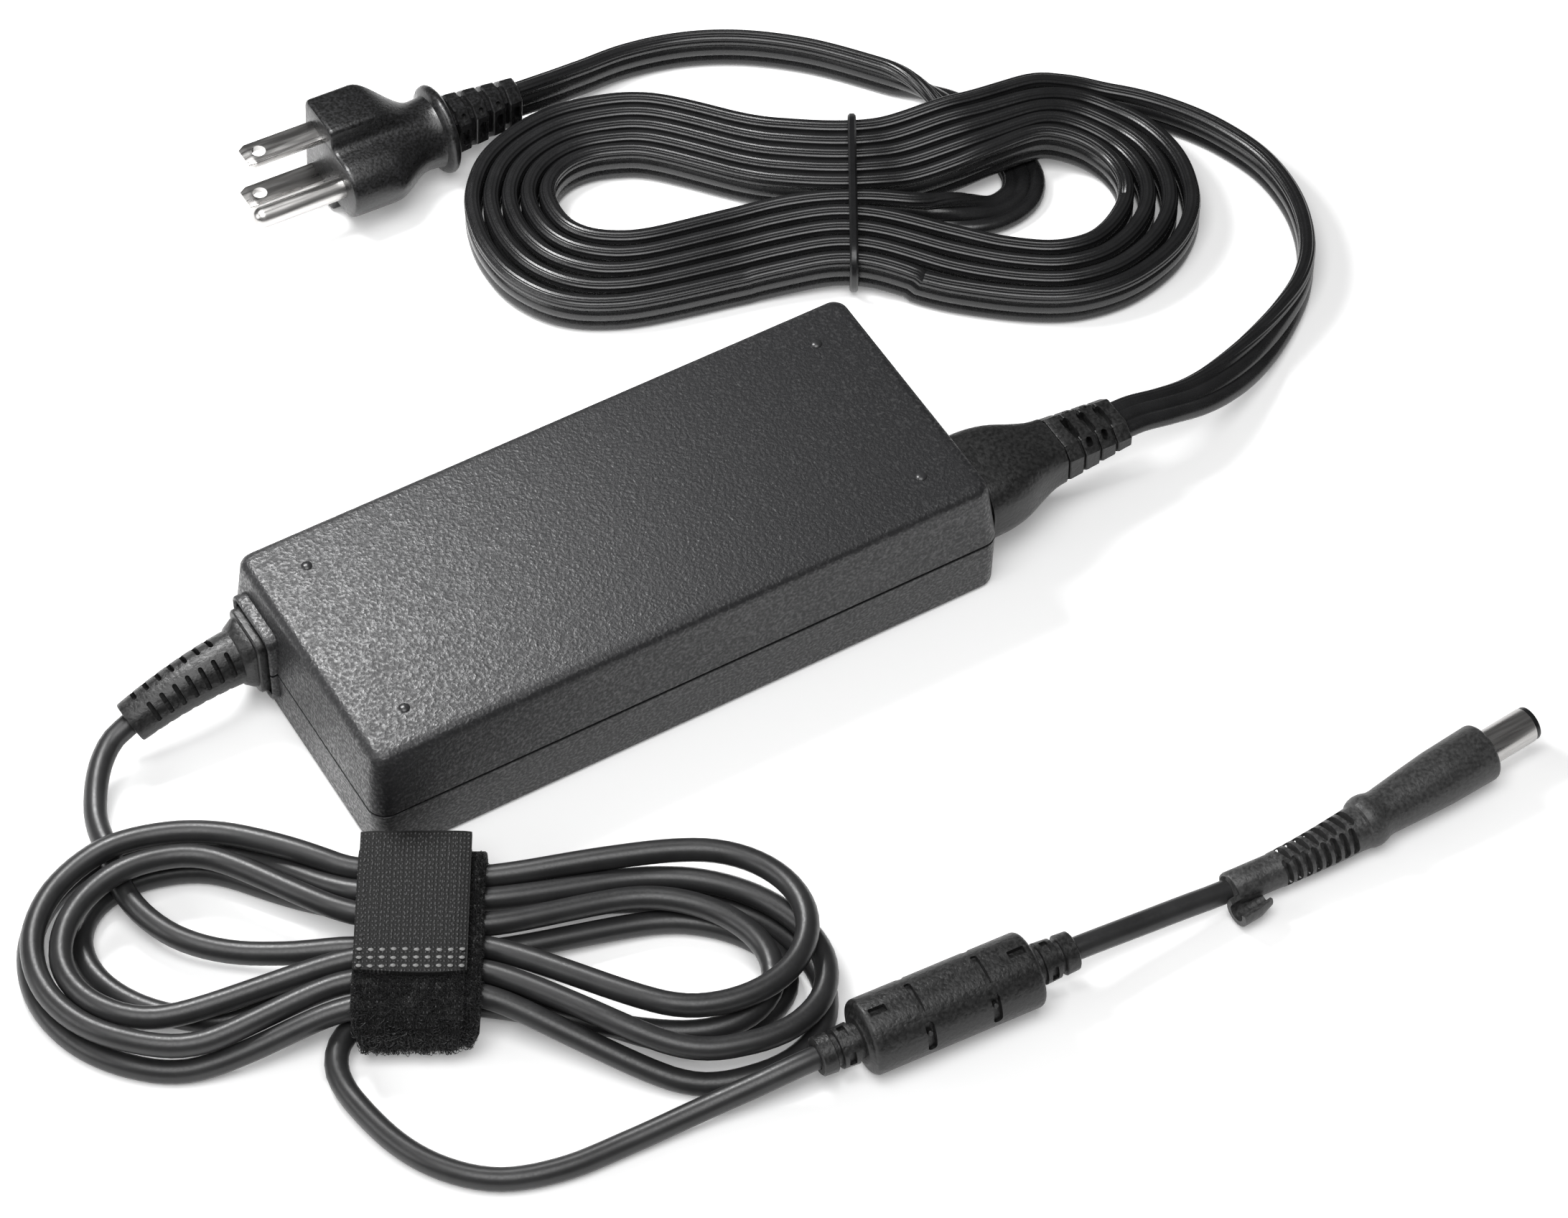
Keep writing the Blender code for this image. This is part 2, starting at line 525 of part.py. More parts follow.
def ferrite(mats):
    """Moulded casing over a ferrite sleeve, with a ribbed stub at each end."""
    place = frame((4.1, -121.7, 7.9), radians(-3.4))
    half, radius, stub = 18.5, 7.8, 3.9
    profile = [(-half - 9.0, 3.4), (-half - 9.0, stub - 0.2), (-half - 6.2, stub - 0.2), (-half - 6.2, 3.0),
               (-half - 4.6, 3.0), (-half - 4.6, stub), (-half, stub), (-half, radius - 0.9), (-half + 0.9, radius)]
    mirrored = [(-x, r) for x, r in profile[::-1]]
    bore = [(half + 9.0, 2.7), (-half - 9.0, 2.7)]
    rings = [across_x(x, disc(r, 24)) for x, r in profile + mirrored + bore]
    casing = loft("ferrite_casing", rings, mats["moulding"], place, endless=True)
    hollow = [across_x(x, disc(r, 24)) for x, r in
              ((-half + 3.0, 6.3), (half - 3.0, 6.3), (half - 3.0, 2.5), (-half + 3.0, 2.5))]
    combine(casing, loft("ferrite_space", hollow, mats["moulding"], place, endless=True), "DIFFERENCE")
    pipe("ferrite_core", -half + 3.3, 2 * half - 6.6, 6.0, 2.8, mats["ferrite"], place)


# ---------------------------------------------------------------- hanks, tie and strap

def hank(name, rows, centre, mat, steps=3):
    """Closed outer shape of a hank; a row is (along, low side, high side, underside, top)."""
    place = frame((*centre, 0.0), HANK_TURN)
    rings = []
    for along, low, high, under, top in rows:
        outline = rounded(high - low, top - under, 3.0, steps)
        rings.append(across_x(along, outline, (low + high) / 2, (under + top) / 2))
    return loft(name, rings, mat, place)


MAINS_HANK_ROWS = (
    (-84.3, -8.0, 2.0, 0.0, 9.6), (-82.5, -17.0, 8.0, 0.0, 9.6), (-75.0, -27.0, 17.8, 0.0, 9.6),
    (-62.0, -34.8, 26.0, 0.0, 9.6), (-45.0, -35.0, 28.8, 0.0, 9.6), (-17.0, -27.2, 20.4, 0.4, 10.2),
    (-4.5, -25.2, 18.6, 1.9, 11.6), (4.5, -25.0, 18.6, 1.9, 11.6), (22.0, -30.8, 23.6, 0.4, 12.2),
    (36.0, -33.6, 28.2, 0.0, 13.2), (40.0, -33.9, 29.6, 0.0, 12.8), (42.0, -33.9, 26.8, 0.0, 12.6),
    (50.0, -33.4, 26.9, 0.0, 12.0), (60.0, -29.0, 23.8, 0.0, 9.8),
    (68.0, -20.6, 16.6, 0.0, 9.6), (74.0, -9.0, 6.4, 0.0, 9.6), (75.4, -6.0, 2.0, 0.0, 9.6))

DC_HANK_ROWS = (
    (-77.4, -10.0, -1.0, 0.0, 5.0), (-75.6, -15.0, 5.0, 0.0, 9.6), (-69.0, -22.0, 12.4, 0.0, 11.8),
    (-57.0, -28.4, 23.0, 0.0, 12.0), (-45.0, -29.2, 26.0, 0.0, 12.0), (-28.0, -24.0, 22.8, 0.0, 12.0),
    (-13.0, -22.8, 18.6, 1.9, 11.6), (13.0, -21.0, 16.6, 1.9, 11.6), (30.0, -21.6, 18.0, 0.0, 14.2),
    (44.0, -28.8, 20.6, 0.0, 14.2), (58.0, -32.6, 20.8, 0.0, 14.2), (70.0, -29.6, 15.6, 0.0, 14.2),
    (79.0, -20.6, 4.0, 0.0, 11.8), (82.8, -13.0, -5.0, 0.0, 9.6))


def belt(name, half_width, low, high, under, top, thick, centre, mat):
    """A closed band round a hank's waist."""
    place = frame((*centre, 0.0), HANK_TURN)
    inner = rounded(high - low, top - under, 3.2, 5)
    outer = rounded(high - low + 2 * thick, top - under + 2 * thick, 3.2 + thick, 5)
    mid_y, mid_z = (low + high) / 2, (under + top) / 2
    rings = [across_x(x, outline, mid_y, mid_z) for x, outline in
             ((-half_width, outer), (half_width, outer), (half_width, inner), (-half_width, inner))]
    return loft(name, rings, mat, place, endless=True)


def strap(mats):
    """Hook-and-loop wrap round the DC hank, and its tail lying on top, hinged at the far edge."""
    belt("strap_wrap", 11.0, -23.2, 19.0, 1.6, 12.0, 1.4, DC_HANK_CENTRE, mats["webbing"])
    place = frame((*DC_HANK_CENTRE, 0.0), HANK_TURN)
    hinge = bpy.data.objects.new("strap_tail_hinge", None)
    bpy.context.scene.collection.objects.link(hinge)
    hinge.location = place @ Vector((0.0, 19.4, 14.6)) * MM
    hinge.rotation_euler = place.to_euler()
    rings = [across_x(x, [(a, b) for a, b in ((-33.0, -0.9), (0.4, -0.9), (1.0, -0.3), (0.4, 0.6), (-33.0, 0.6))])
             for x in (-10.6, 11.2)]
    tail = loft("strap_tail", rings, mats["webbing"])
    tail.parent = hinge


# ---------------------------------------------------------------- cord routes

DC_ENTRY = ((-102.1, 17.55, 9.8), (-104.5, 17.3, 8.95), (-108.0, 15.5, 7.6), (-112.6, 10.6, 5.6),
            (-116.4, 4.0, 3.6), (-118.1, -1.0, 2.8), (-118.5, -5.4, 2.5))
DC_EXIT = ((-100.8, -69.3, 3.0), (-102.0, -75.0, 2.4), (-102.2, -84.6, 2.4), (-100.0, -95.6, 2.4), (-94.9, -104.3, 2.4),
           (-87.6, -110.8, 2.4), (-76.4, -114.6, 2.4), (-62.3, -115.8, 2.6), (-46.0, -117.2, 4.2),
           (-35.0, -118.9, 6.4), (-27.5, -119.8, 7.8), (-23.8, -120.05, 7.9))
DC_TO_PLUG = ((32.0, -123.35, 7.9), (35.2, -123.55, 7.8), (42.0, -124.2, 6.4), (50.0, -124.9, 5.0),
              (58.0, -125.2, 4.5), (62.6, -125.0, 4.55), (67.1, -124.64, 4.6))
MAINS_FROM_CONNECTOR = ((109.8, -17.0, 13.7), (114.0, -17.0, 13.5), (121.0, -17.2, 12.0), (130.0, -16.2, 9.2),
                        (140.0, -13.4, 6.8), (150.0, -9.4, 5.4), (160.0, -4.2, 4.9), (168.4, 1.6, 4.8),
                        (174.6, 8.6, 4.8), (179.0, 17.2, 4.8), (181.2, 26.2, 4.8), (181.2, 36.8, 4.8),
                        (177.6, 49.0, 4.8), (172.4, 58.6, 4.8), (165.8, 66.9, 4.8), (158.4, 73.2, 4.8),
                        (152.2, 76.4, 4.8))
MAINS_TO_PLUG = ((47.9, 131.5, 9.8), (51.5, 131.55, 9.4), (57.0, 132.2, 8.2), (65.0, 133.4, 6.4),
                 (76.0, 134.0, 5.2), (88.0, 131.6, 4.8), (100.0, 125.8, 4.8), (112.0, 116.0, 4.8),
                 (122.0, 104.0, 4.8), (129.4, 93.4, 4.8), (135.4, 82.9, 4.8))


def cords(mats):
    """The uncoiled stretches; the coiled ones are the two hanks."""
    cord("dc_cord_from_brick", DC_ENTRY, DC_CORD, mats["cord"])
    cord("dc_cord_to_ferrite", DC_EXIT, DC_CORD, mats["cord"])
    cord("dc_cord_to_plug", DC_TO_PLUG, DC_CORD, mats["cord"])
    cord("mains_cord_from_connector", MAINS_FROM_CONNECTOR, MAINS_TUBE, mats["cord"], 10.0)
    cord("mains_cord_to_plug", MAINS_TO_PLUG, MAINS_TUBE, mats["cord"], 10.0)


def build():
    """Every piece of the adapter."""
    clear_scene()
    mats = {
        "case": material("case_plastic", DARK, 0.55), "moulding": material("moulded_pvc", BLACK, 0.5),
        "plug": material("plug_pvc", BLACK, 0.4), "cord": material("cord_pvc", BLACK, 0.4),
        "nickel": material("nickel", METAL, 0.2, 1.0), "webbing": material("webbing", BLACK, 0.9),
        "aluminium": material("aluminium", (0.6, 0.6, 0.61), 0.4, 1.0),
        "board": material("circuit_board", (0.05, 0.16, 0.06), 0.5),
        "film": material("insulating_film", (0.7, 0.6, 0.3), 0.4),
        "ferrite": material("ferrite", (0.05, 0.05, 0.055), 0.7),
        "tape": material("winding_tape", (0.75, 0.55, 0.1), 0.5),
        "copper": material("copper_winding", (0.6, 0.25, 0.1), 0.35, 0.9),
        "ceramic": material("fuse_ceramic", (0.75, 0.7, 0.6), 0.5),
        "yellow": material("capacitor_case", (0.7, 0.55, 0.1), 0.5),
        "blue": material("disc_capacitor", (0.05, 0.15, 0.5), 0.5),
        "epoxy": material("epoxy", (0.02, 0.02, 0.02), 0.5),
        "sleeve": material("capacitor_sleeve", (0.03, 0.03, 0.05), 0.35),
    }
    top_cover(mats)
    bottom_case(mats)
    inlet(mats)
    mains_connector(mats)
    dc_strain_relief(mats)
    board(mats)
    wound_core(mats)
    components(mats)
    mains_plug(mats)
    dc_plug(mats)
    ferrite(mats)
    hank("mains_cord_hank", MAINS_HANK_ROWS, MAINS_HANK_CENTRE, mats["cord"], 4)
    hank("dc_cord_hank", DC_HANK_ROWS, DC_HANK_CENTRE, mats["cord"], 4)
    belt("hank_tie", 0.9, -25.6, 19.0, 1.6, 12.0, 1.5, MAINS_HANK_CENTRE, mats["cord"])
    strap(mats)
    cords(mats)


build()
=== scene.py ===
"""Looks of a laptop power adapter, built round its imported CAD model.

Lengths are written in millimetres and scaled to metres as each mesh is made, in the CAD's own frame:
the origin is the centre of the brick's underside, +X points towards the mains inlet and +Z is up.
"""
import json
from math import cos, hypot, pi, radians, sin

import bmesh
import bpy
import numpy as np
from mathutils import Matrix, Vector

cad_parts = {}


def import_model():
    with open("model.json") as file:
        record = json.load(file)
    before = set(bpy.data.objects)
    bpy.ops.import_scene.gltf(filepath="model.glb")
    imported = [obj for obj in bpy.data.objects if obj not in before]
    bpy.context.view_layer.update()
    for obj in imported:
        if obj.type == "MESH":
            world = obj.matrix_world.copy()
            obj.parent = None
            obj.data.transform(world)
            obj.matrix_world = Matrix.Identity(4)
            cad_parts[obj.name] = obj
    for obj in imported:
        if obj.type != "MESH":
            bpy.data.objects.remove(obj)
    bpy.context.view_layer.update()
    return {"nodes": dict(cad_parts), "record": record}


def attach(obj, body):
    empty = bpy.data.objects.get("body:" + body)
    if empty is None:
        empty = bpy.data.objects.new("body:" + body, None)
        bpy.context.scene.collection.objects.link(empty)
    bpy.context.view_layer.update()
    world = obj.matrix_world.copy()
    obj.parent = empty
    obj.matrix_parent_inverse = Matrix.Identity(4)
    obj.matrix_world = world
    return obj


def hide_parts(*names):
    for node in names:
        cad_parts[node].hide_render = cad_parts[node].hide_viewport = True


MM = 0.001
SHARP_ANGLE = 32                            # degrees; an edge sharper than this stays crisp

# Camera, at the photograph's angle; its place is in millimetres
CAMERA_PLACE = (-329.6, -631.8, 874.3)
CAMERA_AZIMUTH, CAMERA_ELEVATION = radians(-30.27), radians(50.80)
CAMERA_LENS = 126.05

# Brick, as in the CAD
LENGTH, WIDTH, HEIGHT = 144.0, 64.4, 29.6
SEAM, SEAM_GAP = 13.7, 0.56
WALL, CORNER, TOP_DRAFT = 2.2, 4.0, 1.6
PIP_X, PIP_Y = 59.1, 20.9
PORT_Y, PORT_Z = 19.0, 14.2
INLET_Y, INLET_Z = -17.0, 13.7

# Cords
DC_CORD = 4.75
RIBBON_WIDTH, RIBBON_THICKNESS = 9.6, 3.6

# Hanks: both lie along one slanted line, each round its own centre
HANK_TURN = radians(-30.0)
MAINS_HANK_CENTRE = (99.0, 73.0)
DC_HANK_CENTRE = (-77.0, -56.0)

# Plugs and ferrite bead, as in the CAD
PLUG_FACE, PLUG_Y, PLUG_Z, PLUG_TILT = 1.5, 131.5, 12.2, radians(-3.0)
DC_TIP, DC_TURN, DC_TILT = (141.6, -121.3, 6.5), radians(5.0), radians(0.8)
BLADE_OFFSET, EARTH_OFFSET = 5.5, -6.4
FERRITE_PLACE, FERRITE_TURN = (4.1, -121.7, 7.9), radians(-3.4)


# ---------------------------------------------------------------- outlines and meshes

def frame_at(origin, turn=0.0, tilt=0.0):
    """A placement at origin, turned about Z, then tilted nose up about its own Y."""
    return Matrix.Translation(origin) @ Matrix.Rotation(turn, 4, "Z") @ Matrix.Rotation(-tilt, 4, "Y")


def add_mesh(name, verts, faces, mat, place=None, sharp=SHARP_ANGLE):
    """A mesh object from points in millimetres, smooth except across edges sharper than an angle."""
    mesh = bpy.data.meshes.new(name)
    matrix = place or Matrix()
    mesh.from_pydata([(matrix @ Vector(v)) * MM for v in verts], [], faces)
    mesh.materials.append(mat)
    work = bmesh.new()
    work.from_mesh(mesh)
    bmesh.ops.recalc_face_normals(work, faces=work.faces)
    work.to_mesh(mesh)
    work.free()
    mesh.shade_smooth()
    mesh.set_sharp_from_angle(angle=radians(sharp))
    obj = bpy.data.objects.new(name, mesh)
    bpy.context.scene.collection.objects.link(obj)
    return obj


def skin(rings, endless=False):
    """Vertices and faces of a row of rings with equal point counts, capped unless endless."""
    count = len(rings[0])
    verts = [v for ring in rings for v in ring]
    faces = []
    for row in range(len(rings) if endless else len(rings) - 1):
        here, there = row * count, (row + 1) % len(rings) * count
        for i in range(count):
            j = (i + 1) % count
            faces.append((here + i, here + j, there + j, there + i))
    if not endless:
        faces.append(tuple(range(count)))
        faces.append(tuple(range(len(verts) - count, len(verts))))
    return verts, faces


def loft(name, rings, mat, place=None, endless=False, sharp=SHARP_ANGLE):
    """One closed piece skinned over rings."""
    verts, faces = skin(rings, endless)
    return add_mesh(name, verts, faces, mat, place, sharp)


def rounded(width, height, radius, steps=8):
    """Outline of a rectangle with round corners, as (across, up) pairs, anticlockwise."""
    radius = min(radius, width / 2 - 0.01, height / 2 - 0.01)
    points = []
    for corner, (sx, sy) in enumerate(((1, 1), (-1, 1), (-1, -1), (1, -1))):
        cx, cy = sx * (width / 2 - radius), sy * (height / 2 - radius)
        for k in range(steps):
            angle = pi / 2 * (corner + k / (steps - 1))
            points.append((cx + radius * cos(angle), cy + radius * sin(angle)))
    return points


def chamfered(width, height, cut):
    """Outline of a rectangle with its corners cut off."""
    w, h = width / 2, height / 2
    return [(w, h - cut), (w - cut, h), (cut - w, h), (-w, h - cut),
            (-w, cut - h), (cut - w, -h), (w - cut, -h), (w, cut - h)]


def disc(radius, steps=48):
    """Outline of a circle."""
    return [(radius * cos(2 * pi * k / steps), radius * sin(2 * pi * k / steps)) for k in range(steps)]


def across_x(x, outline, y=0.0, z=0.0):
    """An outline standing square to X."""
    return [(x, y + a, z + b) for a, b in outline]


def flat(z, outline, x=0.0, y=0.0):
    """An outline lying level."""
    return [(x + a, y + b, z) for a, b in outline]


def moved(place, points):
    """Points carried to a placement."""
    return [place @ Vector(p) for p in points]


def turned(name, profile, mat, place=None, steps=48, endless=False):
    """A piece of revolution about X; the profile is (along, radius) pairs."""
    return loft(name, [across_x(x, disc(r, steps)) for x, r in profile], mat, place, endless)


def gathered(pieces, name, mat):
    """Many small closed pieces, each a row of rings, as one mesh."""
    verts, faces = [], []
    for rings in pieces:
        ring_verts, ring_faces = skin(rings)
        faces += [tuple(len(verts) + i for i in face) for face in ring_faces]
        verts += ring_verts
    return add_mesh(name, verts, faces, mat)


def cut(target, *tools):
    """Cut tools out of the target for good, and take the tools away."""
    for tool in tools:
        change = target.modifiers.new("cut", "BOOLEAN")
        change.operation = "DIFFERENCE"
        change.solver = "EXACT"
        change.object = tool
    depsgraph = bpy.context.evaluated_depsgraph_get()
    mesh = bpy.data.meshes.new_from_object(target.evaluated_get(depsgraph))
    target.modifiers.clear()
    target.data = mesh
    for tool in tools:
        bpy.data.objects.remove(tool, do_unlink=True)
    mesh.shade_smooth()
    mesh.set_sharp_from_angle(angle=radians(SHARP_ANGLE))


def joined(name, parts):
    """Several meshes as one piece with their materials."""
    verts, faces, slots, mats = [], [], [], []
    for part in parts:
        base = len(verts)
        verts += [v.co.copy() for v in part.data.vertices]
        faces += [tuple(base + i for i in p.vertices) for p in part.data.polygons]
        mat = part.data.materials[0]
        if mat not in mats:
            mats.append(mat)
        slots += [mats.index(mat)] * len(part.data.polygons)
        bpy.data.objects.remove(part, do_unlink=True)
    mesh = bpy.data.meshes.new(name)
    mesh.from_pydata(verts, [], faces)
    for mat in mats:
        mesh.materials.append(mat)
    mesh.polygons.foreach_set("material_index", slots)
    mesh.shade_smooth()
    mesh.set_sharp_from_angle(angle=radians(SHARP_ANGLE))
    obj = bpy.data.objects.new(name, mesh)
    bpy.context.scene.collection.objects.link(obj)
    return obj


def settle_in(obj, body, slot, *nodes):
    """Let a piece ride on its body and stand for CAD nodes, which it hides; the slot is not used."""
    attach(obj, body)
    if nodes:
        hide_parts(*nodes)


# ---------------------------------------------------------------- materials

def shader_of(name, colour, roughness, metallic=0.0, specular=0.5, sheen=0.0):
    """A Principled material and its node tree, with constants on the shader's own sockets."""
    mat = bpy.data.materials.new(name)
    mat.use_nodes = True
    shader = mat.node_tree.nodes["Principled BSDF"]
    shader.inputs["Base Color"].default_value = (*colour, 1.0)
    shader.inputs["Roughness"].default_value = roughness
    shader.inputs["Metallic"].default_value = metallic
    shader.inputs["Specular IOR Level"].default_value = specular
    shader.inputs["Sheen Weight"].default_value = sheen
    return mat, mat.node_tree, shader


def noise(tree, scale, detail=2.0, stretch=None):
    """Noise in the object's own space; scale is in features per metre."""
    space = tree.nodes.new("ShaderNodeTexCoord")
    texture = tree.nodes.new("ShaderNodeTexNoise")
    texture.inputs["Scale"].default_value = scale
    texture.inputs["Detail"].default_value = detail
    source = space.outputs["Object"]
    if stretch:
        mapping = tree.nodes.new("ShaderNodeMapping")
        mapping.inputs["Scale"].default_value = stretch
        tree.links.new(source, mapping.inputs["Vector"])
        source = mapping.outputs["Vector"]
    tree.links.new(source, texture.inputs["Vector"])
    return texture.outputs["Fac"]


def ramp(tree, value, *stops):
    """Colours or greys read off a value; each stop is (position, colour)."""
    node = tree.nodes.new("ShaderNodeValToRGB")
    while len(node.color_ramp.elements) < len(stops):
        node.color_ramp.elements.new(0.5)
    for element, (position, colour) in zip(node.color_ramp.elements, stops):
        element.position = position
        element.color = (*colour, 1.0) if isinstance(colour, tuple) else (colour, colour, colour, 1.0)
    tree.links.new(value, node.inputs["Fac"])
    return node.outputs["Color"]


def bump(tree, shader, height, strength, distance, under=None):
    """Bump from a height, on top of an earlier bump where given."""
    node = tree.nodes.new("ShaderNodeBump")
    node.inputs["Strength"].default_value = strength
    node.inputs["Distance"].default_value = distance
    tree.links.new(height, node.inputs["Height"])
    if under is not None:
        tree.links.new(under, node.inputs["Normal"])
    tree.links.new(node.outputs["Normal"], shader.inputs["Normal"])
    return node.outputs["Normal"]


def case_plastic():
    """Spark-eroded dark grey plastic: a fine crisp grain with dark specks, and bright specks that are partly
    grain tone and partly painted sparkle (painted glints).
    """
    mat, tree, shader = shader_of("case_plastic", (0.02, 0.02, 0.021), 0.5, specular=0.55)
    grain = noise(tree, 1500.0, 3.0)
    coarse = noise(tree, 800.0, 2.0)
    # base colour: dark grain tone, with bright specks that also paint on sparkle, the glints that light makes
    # on the grain
    colour = ramp(tree, grain, (0.38, (0.005, 0.005, 0.006)), (0.53, (0.012, 0.012, 0.013)),
                  (0.70, (0.045, 0.045, 0.046)))
    tree.links.new(colour, shader.inputs["Base Color"])
    tree.links.new(ramp(tree, grain, (0.38, 0.56), (0.52, 0.42), (0.64, 0.28)), shader.inputs["Roughness"])
    first = bump(tree, shader, coarse, 0.3, 0.0001)
    bump(tree, shader, grain, 0.8, 0.0002, first)
    return mat


def moulded_pvc(name, darkest, lightest):
    """Soft dark moulding with an orange-peel grain, between two greys."""
    mat, tree, shader = shader_of(name, (darkest,) * 3, 0.45)
    peel = noise(tree, 1300.0, 3.0)
    colour = ramp(tree, peel, (0.35, darkest), (0.68, lightest))
    tree.links.new(colour, shader.inputs["Base Color"])
    tree.links.new(ramp(tree, peel, (0.3, 0.36), (0.7, 0.5)), shader.inputs["Roughness"])
    bump(tree, shader, peel, 0.7, 0.0002)
    return mat


def plug_pvc():
    """Black plug moulding with a fine sparkling grain."""
    mat, tree, shader = shader_of("plug_pvc", (0.006, 0.006, 0.0065), 0.34)
    grain = noise(tree, 1700.0, 2.0)
    colour = ramp(tree, grain, (0.40, (0.004, 0.004, 0.004)), (0.74, (0.014, 0.014, 0.015)))
    tree.links.new(colour, shader.inputs["Base Color"])
    tree.links.new(ramp(tree, grain, (0.3, 0.27), (0.7, 0.42)), shader.inputs["Roughness"])
    bump(tree, shader, grain, 0.45, 0.00012)
    return mat


def cord_pvc(name, colour, roughness, waviness):
    """Smooth cord jacket, very slightly uneven."""
    mat, tree, shader = shader_of(name, colour, roughness)
    slow = noise(tree, 160.0, 3.0)
    fine = noise(tree, 2400.0, 2.0)
    darker = tuple(c * 0.8 for c in colour)
    lighter = tuple(c * 1.25 for c in colour)
    tree.links.new(ramp(tree, slow, (0.3, darker), (0.7, lighter)), shader.inputs["Base Color"])
    tree.links.new(ramp(tree, fine, (0.3, roughness - 0.05), (0.7, roughness + 0.07)),
                   shader.inputs["Roughness"])
    first = bump(tree, shader, slow, waviness, 0.0002)
    bump(tree, shader, fine, 0.12, 0.00005, first)
    return mat


def nickel():
    """Nickel plate with faint drawing lines."""
    mat, tree, shader = shader_of("nickel", (0.55, 0.54, 0.53), 0.2, metallic=1.0)
    lines = noise(tree, 900.0, 2.0, stretch=(0.06, 1.0, 1.0))
    tree.links.new(ramp(tree, lines, (0.3, (0.42, 0.41, 0.40)), (0.7, (0.60, 0.59, 0.58))),
                   shader.inputs["Base Color"])
    tree.links.new(ramp(tree, lines, (0.3, 0.22), (0.7, 0.38)), shader.inputs["Roughness"])
    bump(tree, shader, lines, 0.1, 0.00005)
    return mat


def webbing():
    """Woven nylon tape: two crossing yarns, along and across the strap."""
    mat, tree, shader = shader_of("webbing", (0.006, 0.006, 0.0065), 0.7, specular=0.3, sheen=0.04)
    space = tree.nodes.new("ShaderNodeTexCoord")
    mapping = tree.nodes.new("ShaderNodeMapping")
    mapping.inputs["Rotation"].default_value = (0.0, 0.0, -HANK_TURN)
    tree.links.new(space.outputs["Object"], mapping.inputs["Vector"])
    heights = []
    for direction, scale in (("X", 420.0), ("Y", 300.0)):
        wave = tree.nodes.new("ShaderNodeTexWave")
        wave.bands_direction = direction
        wave.inputs["Scale"].default_value = scale
        wave.inputs["Distortion"].default_value = 2.5
        wave.inputs["Detail"].default_value = 2.0
        wave.inputs["Detail Scale"].default_value = 3.0
        tree.links.new(mapping.outputs["Vector"], wave.inputs["Vector"])
        heights.append(wave.outputs["Fac"])
    weave = tree.nodes.new("ShaderNodeMath")
    weave.operation = "MULTIPLY"
    tree.links.new(heights[0], weave.inputs[0])
    tree.links.new(heights[1], weave.inputs[1])
    fibre = noise(tree, 3500.0, 3.0)
    colour = ramp(tree, weave.outputs["Value"], (0.1, (0.002, 0.002, 0.002)), (0.6, (0.009, 0.009, 0.009)),
                  (0.95, (0.065, 0.065, 0.066)))
    tree.links.new(colour, shader.inputs["Base Color"])
    first = bump(tree, shader, weave.outputs["Value"], 0.7, 0.00025)
    bump(tree, shader, fibre, 0.3, 0.0001, first)
    return mat


def plain_finish(name, colour, roughness, metallic=0.0, scale=900.0):
    """A simple finish: its colour with a fine mottle and grain."""
    mat, tree, shader = shader_of(name, colour, roughness, metallic)
    mottle = noise(tree, scale, 3.0)
    darker = tuple(c * 0.75 for c in colour)
    lighter = tuple(min(1.0, c * 1.15) for c in colour)
    tree.links.new(ramp(tree, mottle, (0.3, darker), (0.7, lighter)), shader.inputs["Base Color"])
    bump(tree, shader, mottle, 0.15, 0.0001)
    return mat


# Smooth mouldings and jackets: colour, roughness, waviness
SMOOTH_FINISHES = {
    "dc_cord_pvc": ((0.019, 0.019, 0.0195), 0.37, 0.10),
    "mains_cord_pvc": ((0.010, 0.010, 0.0105), 0.27, 0.06),
    "tie_pvc": ((0.006, 0.006, 0.0065), 0.33, 0.05),
    "pip_plastic": ((0.02, 0.02, 0.021), 0.28, 0.05),
}
# Fibres, and the pieces inside the case: colour, roughness, and where needed metallic and mottle scale
PLAIN_FINISHES = {
    "thread": ((0.05, 0.05, 0.051), 0.45, 0.0, 2500.0), "weld": ((0.15, 0.15, 0.148), 0.5, 0.0, 2500.0),
    "pile": ((0.010, 0.010, 0.0105), 0.55, 0.0, 2500.0), "inlet_plastic": ((0.02, 0.02, 0.02), 0.5),
    "aluminium": ((0.62, 0.62, 0.63), 0.35, 1.0, 400.0), "circuit_board": ((0.03, 0.14, 0.05), 0.4),
    "insulating_film": ((0.7, 0.58, 0.3), 0.3), "ferrite": ((0.05, 0.05, 0.055), 0.7),
    "winding_tape": ((0.75, 0.55, 0.1), 0.4), "copper_winding": ((0.6, 0.25, 0.1), 0.35, 0.9),
    "ceramic": ((0.75, 0.7, 0.6), 0.45), "capacitor_case": ((0.7, 0.55, 0.1), 0.4),
    "disc_capacitor": ((0.05, 0.15, 0.5), 0.35), "epoxy": ((0.02, 0.02, 0.02), 0.55),
    "capacitor_sleeve": ((0.03, 0.03, 0.05), 0.3),
}


def materials():
    """Every material: one for each of the record's slots, a few more for small details, and a lighter copy of
    the moulding that paints light on the DC grip.
    """
    mats = {
        "case_plastic": case_plastic(), "moulded_pvc": moulded_pvc("moulded_pvc", 0.005, 0.018),
        # a lighter copy of the moulding: painted light, for the DC grip that shows brighter where it lies
        # under the lamps
        "painted_light_grip_pvc": moulded_pvc("painted_light_grip_pvc", 0.022, 0.050), "plug_pvc": plug_pvc(), "nickel": nickel(),
        "webbing": webbing(),
    }
    mats.update({name: cord_pvc(name, *values) for name, values in SMOOTH_FINISHES.items()})
    mats.update({name: plain_finish(name, *values) for name, values in PLAIN_FINISHES.items()})
    return mats


# ---------------------------------------------------------------- camera, light and floor

FLOOR_HALF = 3000.0
FLOOR_CLEARANCE = 0.02                      # below the object, so that no two faces share a plane


